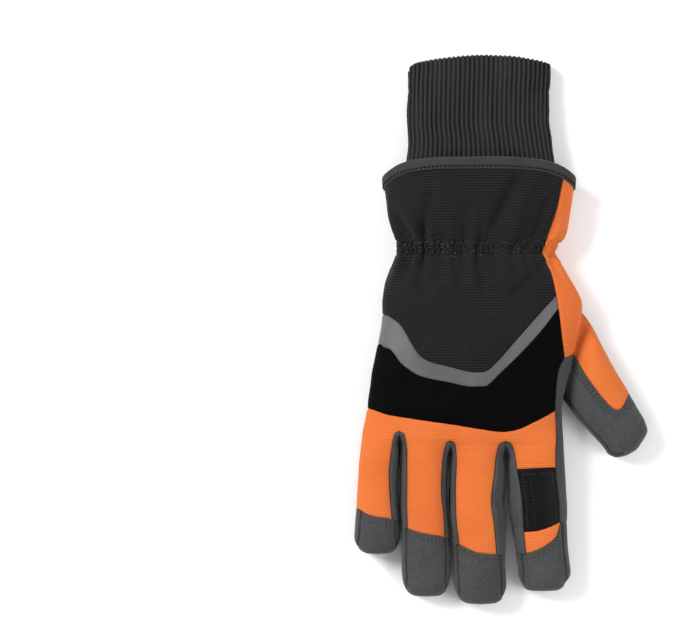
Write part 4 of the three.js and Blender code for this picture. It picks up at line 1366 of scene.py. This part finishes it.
# Palm pads, cuff, binding, tab
PADS = {
    "palm_pad_fingers": [
        (-8.6, -63.9), (-22.0, -64.4), (-38.2, -60.6), (-51.4, -56.7), (-61.6, -52.4), (-66.8, -47.5),
        (-69.3, -39), (-68.2, -32), (-65.2, -22.2), (-59.4, -21.6), (-51.4, -26.1), (-38.4, -30.3),
        (-25.0, -33.2), (-14.2, -36.8), (2.5, -40.0), (17.1, -42.5), (20.0, -46), (17.1, -50.9),
        (9.2, -55.8), (2, -60)],
    "palm_pad_thumb": [
        (13.4, -33.6), (3.2, -33.1), (-6.5, -31.7), (-15.9, -28.2), (-22.8, -21.8), (-27, -13.9),
        (-29, -7), (-25.6, -0.6), (-18.7, 6.5), (-11.7, 13.5), (-3.3, 22), (2.5, 27.8), (6.6, 24.2),
        (11, 15.7), (13.8, 3.6), (15.9, -10.5), (17.2, -23.3), (16.7, -30)],
    "palm_pad_heel": [
        (-28.6, -25.8), (-36.3, -25.4), (-46.5, -23.2), (-60.0, -18), (-64.4, -14), (-66.2, -8.3),
        (-64.6, 1), (-61.2, 11), (-57.0, 22.9), (-56.2, 31.4), (-50.6, 35.3), (-38.4, 35.3),
        (-22.4, 33.5), (-10.4, 30.5), (-8.3, 26), (-17.2, 17.9), (-25.9, 10.8), (-33.6, 3),
        (-38.2, -3.4), (-37.6, -10.5), (-33.4, -17.5), (-29.6, -22.6)],
}


def ring_of(points, count):
    """A closed smooth curve through points, evenly spaced along its length."""
    p = np.array(points + points[:3], float)
    k = np.arange(len(p), dtype=float)
    fine = np.linspace(1, len(points) + 1, 2000)
    return even(np.column_stack([spline(k, p[:, 0], fine), spline(k, p[:, 1], fine)]), count + 1)[:-1]


PAD_ROWS = (1.4, 3.4)  # insets of the two rows of stitches
PAD_Z = 1.95  # height of the pads' edges above the floor
PAD_MIDDLES = {"palm_pad_fingers": (-32, -43), "palm_pad_thumb": (-3, -8), "palm_pad_heel": (-48, 0)}


def pad_shape(outline, middle):
    """Rings shrinking from the outline to its middle, with thickness and crest: a quilt, thin at the edge,
    with a bell-shaped groove for each row of stitches and a full middle. The crest falls in the grooves,
    which paints shade there."""
    ring = ring_of(outline, 260)
    share = np.linspace(0, 1, 60) ** 1.15
    p = mix(ring[None], np.array(middle, float), share[:, None, None])
    away = np.sqrt(((p[:, :, None] - ring) ** 2).sum(-1)).min(-1)
    press = sum(bell(away - row, 0.6) for row in PAD_ROWS)
    soft = 0.2 * softness(np.dstack([p, 0 * away])) * np.clip(away / 6, 0, 1)
    thick = np.minimum(1.8 * step(away / 5 + 0.12) - 0.35 * press + soft, 1.8)
    # the last value is the crest, lower in the stitch grooves, for painted shade there
    return ring, p, thick, 1 - 0.3 * press


def make_pads():
    """Three quilted pads that bulge down from the palm, each closed by a flat lid."""
    for name, outline in PADS.items():
        middle = PAD_MIDDLES[name]
        ring, p, thick, crest = pad_shape(outline, middle)
        low = np.dstack([p, PAD_Z - thick])[:, ::-1]
        cloth = Cloth(np.concatenate([low, low[:, :1]], 1))
        cloth.crest = np.concatenate([crest[:, ::-1], crest[:, -1:]], 1)
        lid = cloth.p[:2].copy()
        lid[1] = [*middle, PAD_Z + 0.15]
        thing = piece("quilted_" + name, [cloth, Cloth(lid[::-1])], SUEDE, name, "")
        ring = np.concatenate([ring, ring[:2]])
        for inset in PAD_ROWS:
            line = laid([cloth], beside(ring, -inset), -1)
            stitch(THREAD_BLACK, *line, 1.7, 1.2, 0.45, seed=3)


KNIT_RIBS = 66  # ribs round the cuff
KNIT_DEEP = 0.62  # half the depth of a rib
KNIT_THICK = 3.0  # thickness of the cuff's wall
KNIT_BAND_Y = 139  # a shallow groove runs round the cuff here
CUFF_START = 56.0  # the cuff begins inside the gauntlet
CUFF_END = [
    (-90, 150), (-54.6, 151), (-53.8, 153.6), (-51, 155.4), (-46, 156.6), (-34, 158.6), (-12, 160.2),
    (4, 159.8), (18, 157.8), (25, 156.2), (28, 154.8), (29, 152), (60, 150),
]


def make_cuff():
    """One closed wall: out along the ribs, round the free end and back inside. Each rib is a
    cosine round the cuff, with squarer crests, whose height and place wander a little."""
    s = np.linspace(0, 1, KNIT_RIBS * 12 + 1)[None]
    end = curve_y(CUFF_END, cuff.at(s, 120 + 0 * s)[..., 0]) - KNIT_THICK / 2
    out, back_in = np.linspace(0, 1, 84)[:, None], np.linspace(1, 0, 16)[:, None]
    roll = np.linspace(0, np.pi, 9)[1:-1, None]
    y = np.concatenate([mix(CUFF_START, end, out), end + 0 * roll, mix(CUFF_START, end, back_in)])
    inset = np.concatenate([0 * out, KNIT_THICK / 2 * (1 - np.cos(roll)), KNIT_THICK + 0 * back_in])
    past = np.concatenate([0 * out, KNIT_THICK / 2 * np.sin(roll), 0 * back_in])
    s = s + 0 * y
    inset = inset + 0 * s
    skin = cuff.at(s, y)
    straight = Cloth(cuff.at(s[:3], 120 + 0 * s[:3] + np.array([[1.0], [0.0], [-1.0]]))).n[1]
    sway = noise(np.stack([s * 60, y / 3, 0 * y], -1), 9.0, 7)
    wave = np.cos(2 * np.pi * KNIT_RIBS * (s + 0.0035 * sway))
    crest = np.sign(wave) * np.abs(wave) ** 0.75
    uneven = 0.8 + 0.5 * noise(np.stack([s * 200, y / 9, 0 * y], -1), 3.4, 4)
    swell = 0.7 * noise(skin, 24.0, 9) + 0.3 * noise(skin, 8.0, 6) - 0.35 * bell(y - KNIT_BAND_Y, 1.5)
    outside = inset < KNIT_THICK / 2
    rib = KNIT_DEEP * uneven * crest * np.where(inset > KNIT_THICK / 2, 0.5, 1)
    p = skin + straight[None] * (rib + swell * outside - inset)[..., None]
    p[..., 1] += past + 0.35 * crest * (past > 0)
    p[..., 2] = np.maximum(p[..., 2], STITCH_GAP)
    knit = Cloth(p[::-1])
    # the ribs' crests, from which the knit material paints shade into the grooves
    knit.crest = 0.5 + 0.5 * crest[::-1]
    piece("rib_knit", [knit], KNIT, "knit_cuff", "")


TAPE_WIDE, TAPE_PROUD = 5.9, 1.15  # the binding's width, and its height above the cloth


def make_binding():
    """Tape folded over the mouth's edge: up its outside with a groove for the stitches, half a
    circle over the edge, and down inside. It ruffles with the cloth."""
    s = np.linspace(-0.25, 0.75, 401)
    u = np.linspace(0, 1, 22)[:, None]
    fold = np.linspace(0, np.pi, 11)[1:-1, None]
    up = np.concatenate([u * TAPE_WIDE, TAPE_WIDE + 1.3 * np.sin(fold), (1 - u) * TAPE_WIDE]) - 0.5
    outer = TAPE_PROUD * (1 - (1 - u) ** 6) - 0.55 * bell(u - 0.3, 0.08)
    over = TAPE_PROUD * (0.5 + 0.5 * np.cos(fold)) - 1.6 * (1 - np.cos(fold))
    out = np.concatenate([outer, over, -3.2 + 0 * u])
    hem_y = hem(s)[None]
    y = hem_y + 0.3 + up
    n = Cloth(hand.at(s + np.zeros((3, 1)), hem_y + np.array([[4.0], [3.0], [2.0]]))).n[1][None]
    p = hand.at(s + 0 * y, y)
    ruffle = 0.45 * noise_along(s * 300, 15.0, 12)
    p = p + n * (out + 0.7 * folds(p) + 0.6 * softness(p) + ruffle)[..., None]
    p[..., 1] += 0.5 * noise_along(s * 300, 22.0, 13)
    p[..., 2] = np.maximum(p[..., 2], STITCH_GAP)
    band = Cloth(p[::-1])
    piece("binding_tape", [band], TAPE, "mouth_binding", "tb")
    stitch(THREAD_BLACK, p[7], band.n[::-1][7], 1.5, 0.9, 0.9, sunk=-0.2, seed=5)


# Outlines of the tab and of its badge: y, half width
TAB = [(85.6, 21.4), (104, 18.2), (115, 14.6), (120.4, 11), (122.6, 6)]
BADGE = [(88, 15.6), (104, 12.6), (113, 9.8), (116.6, 7.4), (118, 4)]
TAB_X = -16
# Insets and heights of the rings, from the middle of the top over the edge to the middle below
TAB_STEPS = [
    (60, 3.0), (4.2, 3.0), (3.6, 2.9), (3.0, 3.0), (0.5, 3.0), (0.1, 2.8), (0, 2.4), (0.1, 1.8),
    (0.5, 1.5), (3.0, 1.5), (60, 1.5),
]
BADGE_STEPS = [
    (60, 1.2), (3, 1.2), (0.5, 1.2), (0.1, 1.1), (0, 0.8), (0, 0.3), (0.3, 0.05), (0.7, 0),
    (1.2, 0.05), (1.5, 0.4), (1.8, 0.6), (2.4, 0.6), (2.7, 0.4), (3.1, 0.3), (3.6, 0.3), (5, 0.3),
    (8, 0.3), (60, 0.3),
]


def both_sides(rows, inset=0.0):
    """An outline round the tab's middle line, from its y and half width in each row."""
    right = [(TAB_X + half - inset, y) for y, half in rows]
    left = [(TAB_X - half + inset, y) for y, half in rows[::-1]]
    return right + left


def slab(outline, steps, count=220):
    """A flat piece: rings at insets and heights given by steps, closed at both ends."""
    ring = even(outline + outline[:1], count)
    middle = ring[:-1].mean(0)
    far = np.linalg.norm(ring - middle, axis=1)
    insides = [(mix(ring, middle, np.clip(inset / far, 0, 1)[:, None]), z) for inset, z in steps]
    return Cloth(np.array([np.column_stack([inside, np.full(count, z)]) for inside, z in insides]))


def make_tab():
    """The suede tab with its row of stitches, and the bare rubber badge with a raised rim."""
    tab = slab(both_sides(TAB), TAB_STEPS)
    piece("tab_suede", [tab], SUEDE, "cuff_tab", "")
    badge = slab(both_sides(BADGE), BADGE_STEPS)
    piece("badge_rubber", [badge], RUBBER, "tab_badge", "")
    edge = even(both_sides(TAB, 1.9), 200)
    line = np.column_stack([edge, np.full(200, 1.5)])
    stitch(THREAD_BLACK, line, np.tile([0.0, 0.0, -1.0], (200, 1)), 1.9, 0.9, 0.4, seed=8)


make_gauntlet()
make_stripe()
make_knuckles()
make_finger_backs()
make_fourchettes()
make_fingertips()
make_side_panel()
make_palm()
make_pads()
make_cuff()
make_binding()
make_tab()
sew()


# Floor, light and camera
def set_stage():
    """A pale floor and even light from all round."""
    bpy.ops.mesh.primitive_plane_add(size=12, location=(0, 0, -0.0002))
    floor = bpy.context.object
    floor.name = "floor"
    floor.data.materials.append(floor_material())
    world = bpy.data.worlds.new("room")
    bpy.context.scene.world = world
    world.use_nodes = True
    background = world.node_tree.nodes["Background"]
    background.inputs["Color"].default_value = (1, 1, 1, 1)
    background.inputs["Strength"].default_value = 0.58


def soft_light(name, place, size, power):
    """A square light at a place, facing the glove."""
    data = bpy.data.lights.new(name, "AREA")
    data.size = size
    data.energy = power
    light = bpy.data.objects.new(name, data)
    light.location = place
    length = math.sqrt(sum(v * v for v in place))
    light.rotation_euler = (math.acos(place[2] / length), 0, math.atan2(place[1], place[0]) + math.pi / 2)
    bpy.context.scene.collection.objects.link(light)


def set_tones():
    """Colours as they are, without a film look."""
    bpy.context.scene.view_settings.view_transform = "Standard"
    bpy.context.scene.view_settings.look = "None"


def set_camera():
    """Straight above, at the place in the picture where the photo has the glove."""
    high, across = 6.0, 0.3978  # height of the camera, and width of the picture at the floor
    data = bpy.data.cameras.new("camera")
    data.sensor_width = 36
    data.lens = 36 * high / across
    data.clip_end = 40
    camera = bpy.data.objects.new("camera", data)
    camera.location = (-0.0941, 0.0044, high)
    bpy.context.scene.collection.objects.link(camera)
    bpy.context.scene.camera = camera


set_stage()
set_tones()
soft_light("key", (-1.9, 1.1, 1.7), 1.2, 88)
soft_light("fill", (1.9, -0.4, 1.9), 1.6, 48)
set_camera()
